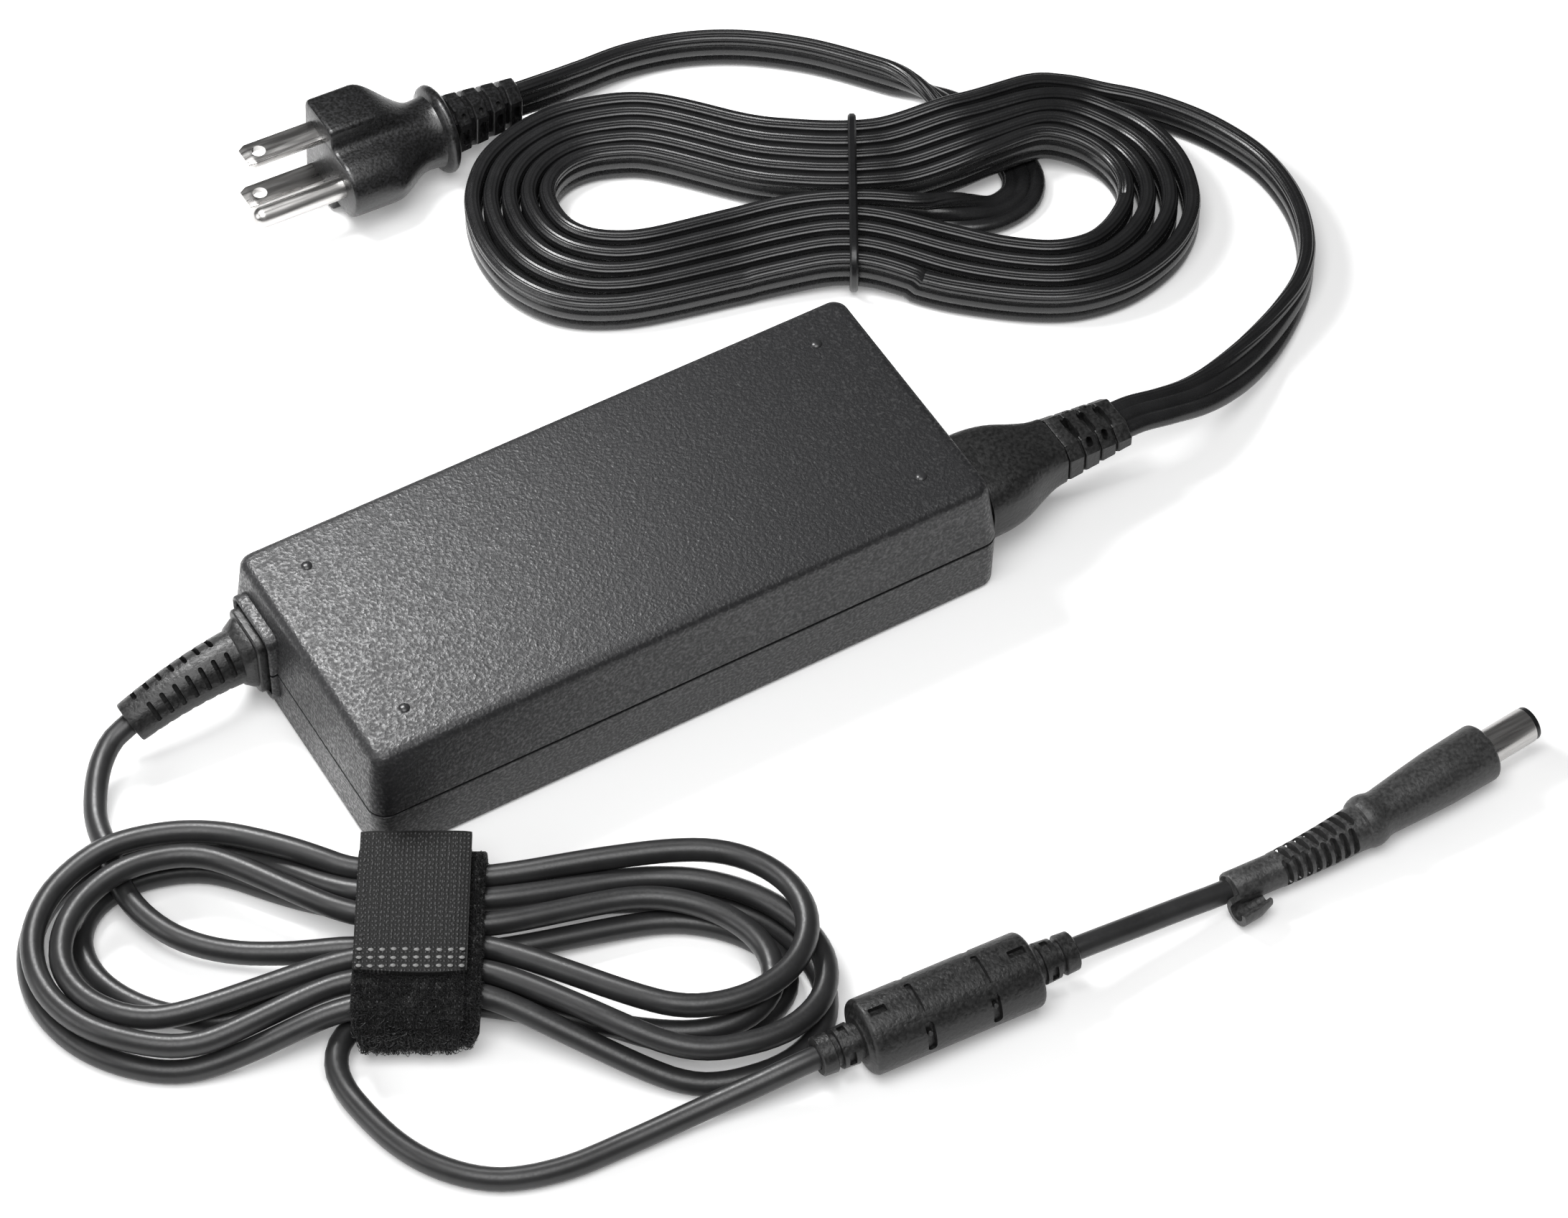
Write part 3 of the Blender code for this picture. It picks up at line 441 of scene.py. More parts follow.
def camera():
    """The camera that frames the object as the photograph does."""
    data = bpy.data.cameras.new("camera")
    data.lens = CAMERA_LENS
    data.clip_end = 20.0
    obj = bpy.data.objects.new("camera", data)
    bpy.context.scene.collection.objects.link(obj)
    obj.location = Vector(CAMERA_PLACE) * MM
    a, e = CAMERA_AZIMUTH, CAMERA_ELEVATION
    back = Vector((sin(a) * cos(e), -cos(a) * cos(e), sin(e)))
    obj.rotation_mode = "QUATERNION"
    obj.rotation_quaternion = (-back).to_track_quat("-Z", "Y")
    bpy.context.scene.camera = obj


def area_light(name, place, target, size, power):
    """A rectangular soft light aimed at a point."""
    data = bpy.data.lights.new(name, "AREA")
    data.shape = "RECTANGLE"
    data.size, data.size_y = size
    data.energy = power
    obj = bpy.data.objects.new(name, data)
    bpy.context.scene.collection.objects.link(obj)
    obj.location = place
    obj.rotation_mode = "QUATERNION"
    obj.rotation_quaternion = (Vector(target) - Vector(place)).to_track_quat("-Z", "Y")
    obj.visible_camera = False


def studio():
    """Pale floor and three soft lights: a small one close behind the brick, a large one overhead in front,
    and one far out on the left.
    """
    world = bpy.data.worlds.new("studio")
    world.use_nodes = True
    background = world.node_tree.nodes["Background"]
    background.inputs["Color"].default_value = (1.0, 1.0, 1.0, 1.0)
    background.inputs["Strength"].default_value = 0.11
    bpy.context.scene.world = world
    bpy.context.scene.view_settings.view_transform = "Standard"
    area_light("behind", (-0.06, 0.17, 0.27), (-0.08, 0.0, 0.0), (0.12, 0.09), 1.2)
    area_light("overhead", (-0.3, -0.4, 1.35), (0.0, 0.0, 0.0), (1.0, 0.9), 16.0)
    area_light("left", (-1.1, 0.15, 0.6), (0.0, 0.0, 0.0), (0.8, 0.5), 4.5)
    mat, tree, shader = shader_of("floor", (0.9, 0.9, 0.9), 0.85, specular=0.2)
    shader.inputs["Emission Color"].default_value = (1.0, 1.0, 1.0, 1.0)
    shader.inputs["Emission Strength"].default_value = 0.2
    mottle = noise(tree, 3.0)
    tree.links.new(ramp(tree, mottle, (0.0, 0.90), (1.0, 0.92)), shader.inputs["Base Color"])
    signs = ((-1, -1), (1, -1), (1, 1), (-1, 1))
    corners = [(FLOOR_HALF * x, FLOOR_HALF * y, -FLOOR_CLEARANCE) for x, y in signs]
    add_mesh("floor", corners, [(0, 1, 2, 3)], mat)


# ---------------------------------------------------------------- cord routes

# The uncoiled stretches, in millimetres, as in the CAD
DC_ENTRY = ((-101.9, 17.5, 9.85), (-104.7, 17.1, 8.9), (-108.3, 15.2, 7.4), (-112.6, 10.6, 5.6),
            (-116.4, 4.0, 3.6), (-118.1, -1.0, 2.8), (-118.5, -5.4, 2.5))
DC_EXIT = ((-101.7, -70.8, 3.0), (-103.4, -76.4, 2.4), (-102.9, -84.2, 2.4), (-100.0, -95.6, 2.4),
           (-94.9, -104.3, 2.4), (-87.6, -110.8, 2.4), (-76.4, -114.6, 2.4), (-62.3, -115.8, 2.6),
           (-46.0, -117.2, 4.2), (-35.0, -118.9, 6.4), (-27.5, -119.8, 7.8), (-23.8, -120.05, 7.9))
DC_TO_PLUG = ((32.0, -123.35, 7.9), (35.2, -123.55, 7.8), (42.0, -123.7, 7.0), (50.0, -124.0, 6.25),
              (58.0, -124.3, 5.5), (62.6, -124.5, 5.0), (67.1, -124.64, 4.6))
MAINS_FROM_CONNECTOR = ((109.5, -17.0, 13.7), (114.0, -17.0, 13.5), (121.0, -17.2, 12.0), (130.0, -16.2, 9.2),
                        (140.0, -13.4, 6.8), (150.0, -9.4, 5.4), (160.0, -4.2, 4.9), (168.4, 1.6, 4.8),
                        (174.6, 8.6, 4.8), (179.0, 17.2, 4.8), (181.2, 26.2, 4.8), (181.2, 36.8, 4.8),
                        (177.6, 49.0, 4.8), (172.4, 58.6, 4.8), (165.8, 66.9, 4.8), (158.4, 73.2, 4.8),
                        (152.2, 76.4, 4.8))
MAINS_TO_PLUG = ((47.6, 131.5, 9.8), (51.5, 131.55, 9.4), (57.0, 132.2, 8.2), (65.0, 133.4, 6.4),
                 (76.0, 134.0, 5.2), (88.0, 131.6, 4.8), (100.0, 125.8, 4.8), (112.0, 116.0, 4.8),
                 (122.0, 104.0, 4.8), (129.4, 93.4, 4.8), (135.4, 82.9, 4.8))


def smooth_line(points, spacing):
    """Points about spacing apart on a smooth curve through the given ones, as an array."""
    p = np.array(points, float)
    p = np.vstack([2 * p[0] - p[1], p, 2 * p[-1] - p[-2]])
    out = []
    for a, b, c, d in zip(p, p[1:], p[2:], p[3:]):
        # centripetal spacing keeps the curve calm where the given points are uneven
        steps = max(1, int(round(np.linalg.norm(c - b) / (spacing / 4))))
        k0 = max(np.linalg.norm(b - a), 1e-6) ** 0.5
        k1 = max(np.linalg.norm(c - b), 1e-6) ** 0.5
        k2 = max(np.linalg.norm(d - c), 1e-6) ** 0.5
        m1 = (b - a) / k0 - (c - a) / (k0 + k1) + (c - b) / k1
        m2 = (c - b) / k1 - (d - b) / (k1 + k2) + (d - c) / k2
        for t in np.arange(steps) / steps:
            from_b, leave_b, to_c, reach_c = (2 * t ** 3 - 3 * t * t + 1, t ** 3 - 2 * t * t + t,
                                              3 * t * t - 2 * t ** 3, t ** 3 - t * t)
            out.append(from_b * b + leave_b * m1 * k1 + to_c * c + reach_c * m2 * k1)
    out.append(p[-2])
    return evenly(np.array(out), spacing)


def evenly(line, spacing):
    """The same line with its points a fixed distance apart."""
    along = np.concatenate([[0.0], np.cumsum(np.linalg.norm(np.diff(line, axis=0), axis=1))])
    at = np.linspace(0.0, along[-1], int(round(along[-1] / spacing)) + 1)
    return np.stack([np.interp(at, along, line[:, k]) for k in range(3)], axis=1)


def hank_points(points, centre):
    """Points given along, across and above a hank, in the common frame."""
    return [tuple(p) for p in moved(frame_at((*centre, 0.0), HANK_TURN), points)]


def between(a, b, t):
    """A point or a row of numbers part of the way from a to b."""
    return tuple(x + (y - x) * t for x, y in zip(a, b))


# ---------------------------------------------------------------- DC lead

# One row for each end loop of the DC hank: middle (along, across), half length, half width, lean, and
# height where it starts and ends. They are in the order the cord runs, a right loop and then a left one.
DC_LOOPS = (
    ((50.5, -7.2), 22.5, 14.8, -0.5, 2.4, 2.4), ((-39.5, 2.9), 25.1, 18.6, 2.4, 2.4, 2.4),
    ((52.0, -9.0), 27.6, 21.4, 5.0, 2.4, 2.4), ((-46.5, -0.5), 28.7, 26.5, 1.0, 2.4, 2.4),
    ((53.0, -5.9), 27.3, 20.1, 4.0, 6.4, 6.6), ((-43.0, -0.6), 30.0, 24.2, 0.0, 6.6, 7.1),
    ((54.0, -0.8), 22.7, 19.0, 0.0, 9.4, 11.6), ((-47.5, -0.8), 21.2, 19.3, -3.5, 7.1, 7.1),
    ((48.0, -5.6), 21.5, 16.6, 4.0, 6.8, 6.8),
)

# Where each pass crosses the strap: (across at the left edge, across at the right edge, height)
DC_PASSES = (
    (-1.3, -1.6, 4.2),
    (-6.0, -9.4, 4.2), (11.4, 10.4, 4.2),
    (-16.8, -13.0, 8.9), (10.2, 7.6, 8.9),
    (-12.0, -8.4, 8.9), (15.0, 12.4, 8.9),
    (-7.2, -3.8, 8.9), (5.2, 2.6, 8.9),
    (-17.0, -14.0, 4.2),
)
# The last pass turns towards the viewer under the strap, and leaves the hank there
LAST_PASS = ((-11.2, -19.2, 3.4), (-5.0, -15.9, 4.0), (3.0, -13.9, 4.2))
HANK_START = ((-57.0, 12.2, 2.4), (-52.3, 6.4, 2.4), (-45.6, 1.7, 2.4), (-36.2, -1.1, 2.4),
              (-24.0, -2.0, 3.4))
IN_FERRITE = ((-10.0, -120.9, 7.9), (4.1, -121.7, 7.9), (18.0, -122.5, 7.9))
STRAP_EDGE = 12.5                           # the strap reaches this far each way along the hank
STRAP_INSIDE = (-21.6, 17.4, 1.7, 11.9)     # near side, far side, bottom and top
STRAP_HOLDS = (-20.4, 19.0)                 # only what passes between these is held by it
LOOP_SWEEP, LOOP_POINTS = 96.0, 9           # degrees either side of the loop's far end
SETTLE_STEP, DC_STEP = 2.4, 2.2


def dc_loop(loop, right):
    """The end loop's points, clockwise over the left end and back along the right one."""
    (cu, cv), a, b, lean, z_in, z_out = loop
    side = 1 if right else -1
    points = []
    for k in range(LOOP_POINTS):
        # a right loop runs from its upper side to its lower side, a left loop from lower to upper
        t = k / (LOOP_POINTS - 1)
        angle = radians(side * LOOP_SWEEP * (1 - 2 * t))
        u = cu + side * a * cos(angle) - lean * sin(angle)
        points.append((u, cv + b * sin(angle), z_in + (z_out - z_in) * t))
    return points


def dc_hank_line():
    """Centre line of the DC hank before it settles, from where it is entered to where it is left."""
    points = list(HANK_START)
    for k, (left, right, height) in enumerate(DC_PASSES):
        ends = [(-STRAP_EDGE, left, height), (0.0, (left + right) / 2, height), (STRAP_EDGE, right, height)]
        to_right = k % 2 == 0
        if k == len(DC_PASSES) - 1:
            ends = [*LAST_PASS, ends[2]]
        points += ends if to_right else ends[::-1]
        if k < len(DC_LOOPS):
            points += dc_loop(DC_LOOPS[k], to_right)
    return points


TURN_CLEARANCE = 0.12
NEIGHBOURS = 7                              # points this close along the cord don't push each other
DEEP_SHARE = 0.3                            # only overlaps this deep, of a point's deepest, push it
FINE_ROUNDS = 40                            # the last rounds smooth less, so that contacts come out true


def settled(line, radius, limits, rounds=260):
    """Let a coiled cord settle: no stretch passes through another, the floor or its strap.

    Stretches that overlap push each other apart, and the pushes are spread along the cord.
    The limits are a function that moves points back to where the cord may be.
    """
    home = line.copy()
    line = line.copy()
    count = len(line)
    apart = 2 * radius + TURN_CLEARANCE
    near = np.abs(np.subtract.outer(np.arange(count), np.arange(count))) < NEIGHBOURS
    kernel = np.array([1, 4, 6, 4, 1]) / 16
    for turn in range(rounds):
        gap = line[:, None, :] - line[None, :, :]
        distance = np.sqrt((gap ** 2).sum(2)) + 1e-9
        short = np.where(near, 0.0, np.maximum(apart - distance, 0.0))
        deep = short > DEEP_SHARE * (short.max(1, keepdims=True) + 1e-9)
        weight = short * deep / distance
        push = (gap * weight[:, :, None]).sum(1) / np.maximum(deep.sum(1), 1)[:, None]
        shift = line + 0.5 * push - home
        for _ in range(2 if turn < rounds - FINE_ROUNDS else 1):
            padded = np.pad(shift, ((2, 2), (0, 0)), mode="edge")
            shift = sum(kernel[k] * padded[k:k + count] for k in range(5))
        shift *= 0.999
        shift[:2] = 0.0
        shift[-2:] = 0.0
        line = limits(home + shift)
    return line


def dc_limits(line):
    """Keep the cord above the floor and, at the waist, inside the strap."""
    place = frame_at((*DC_HANK_CENTRE, 0.0), HANK_TURN)
    turn, shift = np.array(place.to_3x3()), np.array(place.translation)
    local = (line - shift) @ turn
    radius = DC_CORD / 2
    inside = np.clip((STRAP_EDGE + 2 - np.abs(local[:, 0])) / 4, 0.0, 1.0)
    inside *= (local[:, 1] > STRAP_HOLDS[0]) & (local[:, 1] < STRAP_HOLDS[1])
    near_side, far_side, bottom, top = STRAP_INSIDE
    held = local.copy()
    held[:, 1] = np.clip(local[:, 1], near_side + radius, far_side - radius)
    held[:, 2] = np.clip(local[:, 2], bottom + radius, top - radius)
    local = local + (held - local) * inside[:, None]
    local[:, 2] = np.maximum(local[:, 2], radius)
    return local @ turn.T + shift


def dc_cord(mats):
    """The whole DC lead from the boot to the plug, through the ferrite bead, as one curve."""
    coil = smooth_line([*DC_ENTRY, *hank_points(dc_hank_line(), DC_HANK_CENTRE), *DC_EXIT], SETTLE_STEP)
    coil = settled(coil, DC_CORD / 2, dc_limits)
    line = smooth_line([*coil[:-1:2], coil[-1], *IN_FERRITE, *DC_TO_PLUG], DC_STEP)
    curve = bpy.data.curves.new("dc_cord", "CURVE")
    curve.dimensions = "3D"
    curve.bevel_depth = DC_CORD / 2 * MM
    curve.bevel_resolution = 6
    curve.use_fill_caps = True
    spline = curve.splines.new("POLY")
    spline.points.add(len(line) - 1)
    spline.points.foreach_set("co", np.hstack([line * MM, np.ones((len(line), 1))]).ravel())
    curve.materials.append(mats["dc_cord_pvc"])
    cord = bpy.data.objects.new("dc_cord", curve)
    bpy.context.scene.collection.objects.link(cord)
    settle_in(cord, "brick", "dc_cord_pvc", "dc_cord_from_brick", "dc_cord_hank", "dc_cord_to_ferrite",
              "dc_cord_to_plug")
    return cord, line


# ---------------------------------------------------------------- mains lead

# Outermost and innermost turn of the mains hank, (along, across); the other turns lie evenly between
LEFT_OUT = ((-16.6, 18.3), (-45.1, 26.8), (-57.7, 25.5), (-67.6, 21.6), (-75.7, 14.8), (-80.5, 7.5),
            (-82.5, -2.0), (-81.6, -9.6), (-78.8, -17.7), (-73.0, -26.1), (-63.2, -32.3), (-50.3, -33.4),
            (-16.8, -24.7), (0.3, -22.6))
LEFT_IN = ((-16.6, 2.0), (-44.9, 11.2), (-50.9, 11.4), (-57.5, 10.1), (-62.4, 7.2), (-65.5, 2.9),
           (-66.3, -1.2), (-65.0, -6.1), (-61.7, -11.1), (-57.0, -13.8), (-50.5, -14.7), (-44.7, -14.1),
           (-16.7, -5.7), (0.6, -4.4))
RIGHT_OUT = ((21.6, -28.9), (38.4, -31.7), (48.1, -31.3), (57.9, -27.6), (65.9, -21.1), (70.7, -14.4),
             (73.5, -5.8), (73.0, 3.0), (70.5, 10.5), (65.8, 17.4), (60.1, 22.2), (52.8, 25.4),
             (45.3, 25.4), (22.6, 17.7), (0.7, 12.3))
RIGHT_IN = ((21.9, -13.6), (33.0, -16.8), (43.7, -17.9), (51.1, -15.7), (54.6, -12.6), (57.2, -8.6),
            (59.0, -4.2), (59.3, 0.6), (57.9, 4.9), (55.3, 8.6), (51.4, 11.4), (46.2, 12.9),
            (40.4, 12.8), (22.4, 4.4), (0.5, 0.1))
MAINS_TURNS = 5
UPPER_START = ((40.5, 28.9), (22.8, 22.1), (0.7, 16.4))
PLUG_RUN = ((15.0, -4.8), (25.0, -4.4), (32.0, -1.8), (36.6, 2.6), (37.6, 7.6), (35.8, 13.4),
            (32.8, 18.8), (28.0, 25.2))
CROSSING = (34.5, 12.0)                     # where the lead passes under its own turns
OVER_LIFT = RIBBON_THICKNESS + 0.25         # the turns hump this much over it
TIE_LIFT = 1.75                             # and this much over the tie's lower run
# Each change of height or lean: how far it is full either side of its place, and how far it then fades
UNDER_SPAN, OVER_SPAN, TIE_SPAN, FLAT_SPAN = (15.0, 24.0), (6.5, 22.0), (1.5, 26.0), (8.0, 66.0)
MAINS_STEP = 1.5
LOBE_PITCH, LOBE_GROOVE = 3.0, 1.18         # of the three lobes, and half the thickness between them
RIBS, RIB_DEPTH = 6, 0.14


def bell(distance, flat_part, reach):
    """1 within the flat part, falling smoothly to 0 over the reach beyond it."""
    t = np.clip(1 - (np.abs(distance) - flat_part) / reach, 0.0, 1.0)
    return t * t * (3 - 2 * t)


def mains_hank_line():
    """Centre line of the mains hank as (along, across, height), from the connector's side inwards."""
    edge = RIBBON_WIDTH / 2
    points = [(u, v, edge) for u, v in UPPER_START]
    for turn in range(MAINS_TURNS):
        t = turn / (MAINS_TURNS - 1)
        points += [(*between(a, b, t), edge) for a, b in zip(LEFT_OUT, LEFT_IN)]
        if turn < MAINS_TURNS - 1:
            t = turn / (MAINS_TURNS - 2)
            points += [(*between(a, b, t), edge) for a, b in zip(RIGHT_OUT, RIGHT_IN)]
    return points + [(u, v, edge) for u, v in PLUG_RUN]


def mains_line():
    """Centre line and lean of the whole mains lead; lean is the angle of its width from upright."""
    line = smooth_line([*MAINS_FROM_CONNECTOR, *hank_points(mains_hank_line(), MAINS_HANK_CENTRE),
                        *MAINS_TO_PLUG[::-1]], MAINS_STEP)
    place = frame_at((*MAINS_HANK_CENTRE, 0.0), HANK_TURN)
    local = (line - np.array(place.translation)) @ np.array(place.to_3x3())
    along = np.concatenate([[0.0], np.cumsum(np.linalg.norm(np.diff(line, axis=0), axis=1))])
    run_start = int(np.argmin(np.hypot(local[:, 0] - PLUG_RUN[0][0], local[:, 1] - PLUG_RUN[0][1])))
    to_crossing = np.hypot(local[:, 0] - CROSSING[0], local[:, 1] - CROSSING[1])
    to_crossing[:run_start] = 1e3
    past = along - along[int(np.argmin(to_crossing))]
    # the part that goes under: it leans over flat, and sinks to half its thickness
    under = bell(past, *UNDER_SPAN)
    lean = under * pi / 2
    height = line[:, 2] * (1 - under) + (RIBBON_THICKNESS / 2) * under
    # the turns hump over it, and over the tie
    lies_over = (local[:, 1] > -1.5) & (local[:, 1] < 32.0) & (past < -60.0) & (local[:, 0] > 0.0)
    crossed_at = np.interp(local[:, 1], [2.0, 24.0], [37.2, 30.0])
    height += OVER_LIFT * bell(local[:, 0] - crossed_at, *OVER_SPAN) * lies_over
    height += TIE_LIFT * bell(local[:, 0], *TIE_SPAN) * (np.abs(local[:, 1]) < 26.0)
    # the lower edge of the ribbon never sinks into the floor
    half_height = RIBBON_WIDTH / 2 * np.cos(lean) + RIBBON_THICKNESS / 2 * np.sin(lean)
    line[:, 2] = np.maximum(height, half_height - 0.35 * np.sin(2 * lean))
    # at the connector the lead lies flat, its ribbed edge to the left of its run
    lean += (pi / 2) * bell(along, *FLAT_SPAN)
    return line, lean


def ribbon_section():
    """Section of the flat lead as (across, thick) pairs: three lobes, with fine ribs on the last one."""
    pitch, groove, radius = LOBE_PITCH, LOBE_GROOVE, RIBBON_THICKNESS / 2
    upper = []
    for k in range(7):
        angle = radians(180 - 115 * k / 6)
        upper.append((-pitch + radius * cos(angle), radius * sin(angle)))
    upper.append((-pitch / 2, groove))
    for k in range(1, 7):
        t = -1 + 2 * k / 7
        upper.append((pitch / 2 * t, groove + (radius - groove) * (1 - t * t) ** 0.5))
    upper.append((pitch / 2, groove))
    steps = 28
    for k in range(steps + 1):
        angle = radians(115 - 115 * k / steps)
        fade = min(1.0, (radians(112) - angle) * 4 + 0.05)
        depth = RIB_DEPTH * (0.5 - 0.5 * cos(2 * RIBS * angle)) ** 0.7 * fade
        ribbed = radius - max(depth, 0.0)
        upper.append((pitch + ribbed * cos(angle), ribbed * sin(angle)))
    lower = [(a, -b) for a, b in upper[-2:0:-1]]
    return upper + lower


def mains_cord(mats):
    """The flat three-core lead as one tube, standing on edge except where it crosses and joins."""
    line, lean = mains_line()
    section = np.array(ribbon_section())
    run = np.gradient(line, axis=0)
    run /= np.linalg.norm(run, axis=1)[:, None]
    left = np.cross((0.0, 0.0, 1.0), run)
    left /= np.linalg.norm(left, axis=1)[:, None]
    up = np.cross(run, left)
    wide = np.cos(lean)[:, None] * up + np.sin(lean)[:, None] * left
    thick = np.cross(run, wide)
    rings = [p + section[:, :1] * w + section[:, 1:] * t for p, w, t in zip(line, wide, thick)]
    cord = loft("mains_cord", rings, mats["mains_cord_pvc"], sharp=50)
    settle_in(cord, "mains_lead", "mains_cord_pvc", "mains_cord_from_connector", "mains_cord_hank",
              "mains_cord_to_plug")
    return cord, line


# ---------------------------------------------------------------- brick

PORT_HOLE = (9.6, 10.6, 1.5)                # width, height and corner radius
INLET_MOUTH = (17.4, 12.4, 4.5)


def at_port(x, width, height, radius, steps=8):
    """A rounded outline square to X, round the DC port's middle."""
    return across_x(x, rounded(width, height, radius, steps), PORT_Y, PORT_Z)


def at_inlet(x, outline):
    """An outline square to X, round the mains inlet's middle."""
    return across_x(x, outline, INLET_Y, INLET_Z)


def shell_ring(z, inset):
    """The brick's outline at a height, drawn in by an inset."""
    return flat(z, rounded(LENGTH - 2 * inset, WIDTH - 2 * inset, max(CORNER - 0.55 * inset, 1.2), 9))


def round_edge(z, inset, bend, rising=True):
    """(height, inset) pairs of a quarter circle from an upright wall to a level face."""
    angles = [pi / 2 * k / 6 for k in range(7)]
    up = 1 if rising else -1
    return [(z + up * bend * sin(a), inset + bend * (1 - cos(a))) for a in angles]


def shell(name, outer, inner, mat):
    """A hollow shell: inner levels from the deepest to the seam, then outer ones back from the seam."""
    piece = loft(name, [shell_ring(z, inset) for z, inset in inner + outer], mat)
    face = LENGTH / 2
    hole = [at_port(x, *PORT_HOLE) for x in (-face - 4, -face + 6)]
    mouth = [at_inlet(x, rounded(*INLET_MOUTH)) for x in (face - 5, face + 4)]
    cut(piece, loft("hole", hole, mat), loft("mouth", mouth, mat))
    return piece


def brick(mats):
    """The two shells with their soft edges, the rim round the DC port, and the four pips on top."""
    mat = mats["case_plastic"]
    top = SEAM + SEAM_GAP / 2
    bottom = SEAM - SEAM_GAP / 2
    outer = [(top, 0.12), (top + 0.12, 0.0), (top + 0.35, 0.0), *round_edge(HEIGHT - 2.2, 1.5, 2.2)]
    inner = [(HEIGHT - WALL, WALL + TOP_DRAFT), (top, WALL)]
    settle_in(shell("brick_top", outer, inner, mat), "brick", "case_plastic", "top_cover")
    outer = [(bottom, 0.12), (bottom - 0.12, 0.0), (bottom - 0.35, 0.0), *round_edge(1.3, 0.3, 1.3, False)]
    inner = [(WALL, WALL + 0.3), (bottom, WALL)]
    settle_in(shell("brick_base", outer, inner, mat), "brick", "case_plastic", "bottom_case")

    face = -LENGTH / 2
    profile = ((face + 1.2, 0.0), (face - 0.9, 0.0), (face - 1.25, 0.15), (face - 1.4, 0.5),
               (face - 1.25, 0.85), (face - 0.9, 1.1), (face + 0.6, 1.1))
    rings = [at_port(x, 16.4 - 2 * a, 18.8 - 2 * a, 2.6 - a, 7) for x, a in profile]
    rim = loft("port_rim", rings, mat, endless=True)
    seam = [flat(z, rounded(8.0, 24.0, 0.5), face, PORT_Y) for z in (bottom, top)]
    cut(rim, loft("seam", seam, mat))
    back = loft("port_plate", [at_port(x, 14.6, 17.0, 1.6, 7) for x in (face + 1.6, face + 0.1)], mat)
    cut(back, loft("hole", [at_port(x, *PORT_HOLE) for x in (face - 2, face + 3)], mat))
    settle_in(joined("port_rim", [rim, back]), "brick", "case_plastic")

    dome = [(-0.5, 1.15), (0.1, 1.15), (0.2, 1.05), (0.35, 0.8), (0.45, 0.5), (0.5, 0.1)]
    pips = []
    for sx, sy in ((1, 1), (-1, 1), (-1, -1), (1, -1)):
        rings = [flat(HEIGHT + z, disc(r, 24), sx * PIP_X, sy * PIP_Y) for z, r in dome]
        pips.append(loft("pip", rings, mats["pip_plastic"]))
    settle_in(joined("pips", pips), "brick", "case_plastic")


# ---------------------------------------------------------------- mouldings on the brick

# Connector body: (distance from the wall, width, height, corner radius)
CONNECTOR_NOSE = ((-13.0, 16.8, 11.8, 4.2), (0.0, 16.8, 11.8, 4.2))
CONNECTOR_RIM = ((0.0, 22.9, 16.3, 6.0), (0.1, 23.2, 16.6, 6.1), (0.6, 23.2, 16.6, 6.1),
                 (0.75, 22.7, 16.2, 6.1))
CONNECTOR_GRIP = ((1.0, 22.8, 16.3, 6.2), (5.0, 22.8, 16.4, 6.2), (10.0, 21.0, 15.6, 6.0),
                  (14.0, 17.2, 14.0, 5.4), (19.0, 13.8, 11.4, 4.4), (21.0, 13.4, 10.6, 3.4))
# One step of its relief: (distance along it, how much slimmer, how much lower, corner)
CONNECTOR_STEP = ((0.0, 1.3, 1.2, 2.2), (0.5, 1.3, 1.2, 2.2), (0.55, 0.3, 0.2, 2.4), (0.8, 0.0, 0.0, 2.5),
                  (3.75, 0.2, 0.4, 2.5), (4.0, 0.6, 0.8, 2.5))
# DC boot's flange and oval step, from inside the wall outwards
BOOT_BASE = ((3.0, 9.0, 10.0, 1.3), (-0.5, 9.0, 10.0, 1.3), (-0.6, 13.0, 15.4, 2.2),
             (-0.9, 13.2, 15.6, 2.3), (-2.7, 13.0, 15.3, 2.4), (-3.0, 12.5, 14.8, 2.3),
             (-3.1, 11.7, 13.8, 3.4), (-3.6, 11.7, 13.6, 3.6), (-5.4, 11.3, 12.2, 5.0),
             (-5.7, 10.9, 11.4, 5.2))
BOOT_END = ((-0.25, 4.35), (-0.35, 4.0), (-0.3, 3.2), (0.6, 2.6))      # (depth, radius) round its open end
BOOT_ROWS = 26


def pockets(target, places, along, across, depth, bend=0.45):
    """Cut round-cornered pockets at placements whose Z points out of the surface."""
    outline = rounded(along, across, bend * min(along, across), 5)
    tools = [[moved(place, flat(z, outline)) for z in (-depth, depth)] for place in places]
    cut(target, gathered(tools, "pockets", target.data.materials[0]))


def on_side(place, x, angle, radius):
    """A placement on a round piece's surface: x along it, angle in degrees round it, 0 being on top."""
    return place @ Matrix.Translation((x, 0, 0)) @ Matrix.Rotation(radians(angle), 4, "X") \
        @ Matrix.Translation((0, 0, radius))


def eased(stations, step, rounds=6):
    """Rows between the given ones with their corners smoothed; the first number is the place."""
    rows = np.array(stations, float)
    at = np.linspace(rows[0, 0], rows[-1, 0], int((rows[-1, 0] - rows[0, 0]) / step) + 1)
    out = np.stack([at] + [np.interp(at, rows[:, 0], rows[:, k]) for k in range(1, rows.shape[1])], axis=1)
    for _ in range(rounds):
        out[1:-1, 1:] = (out[:-2, 1:] + 2 * out[1:-1, 1:] + out[2:, 1:]) / 4
    return out


def collar(x, width, height, steps, y=0.0, z=0.0):
    """Rings of one step of a relief: a narrow neck, then a collar that slims towards the cord."""
    return [across_x(x + ahead, chamfered(width - slimmer, height - lower, corner), y, z)
            for ahead, slimmer, lower, corner in steps]


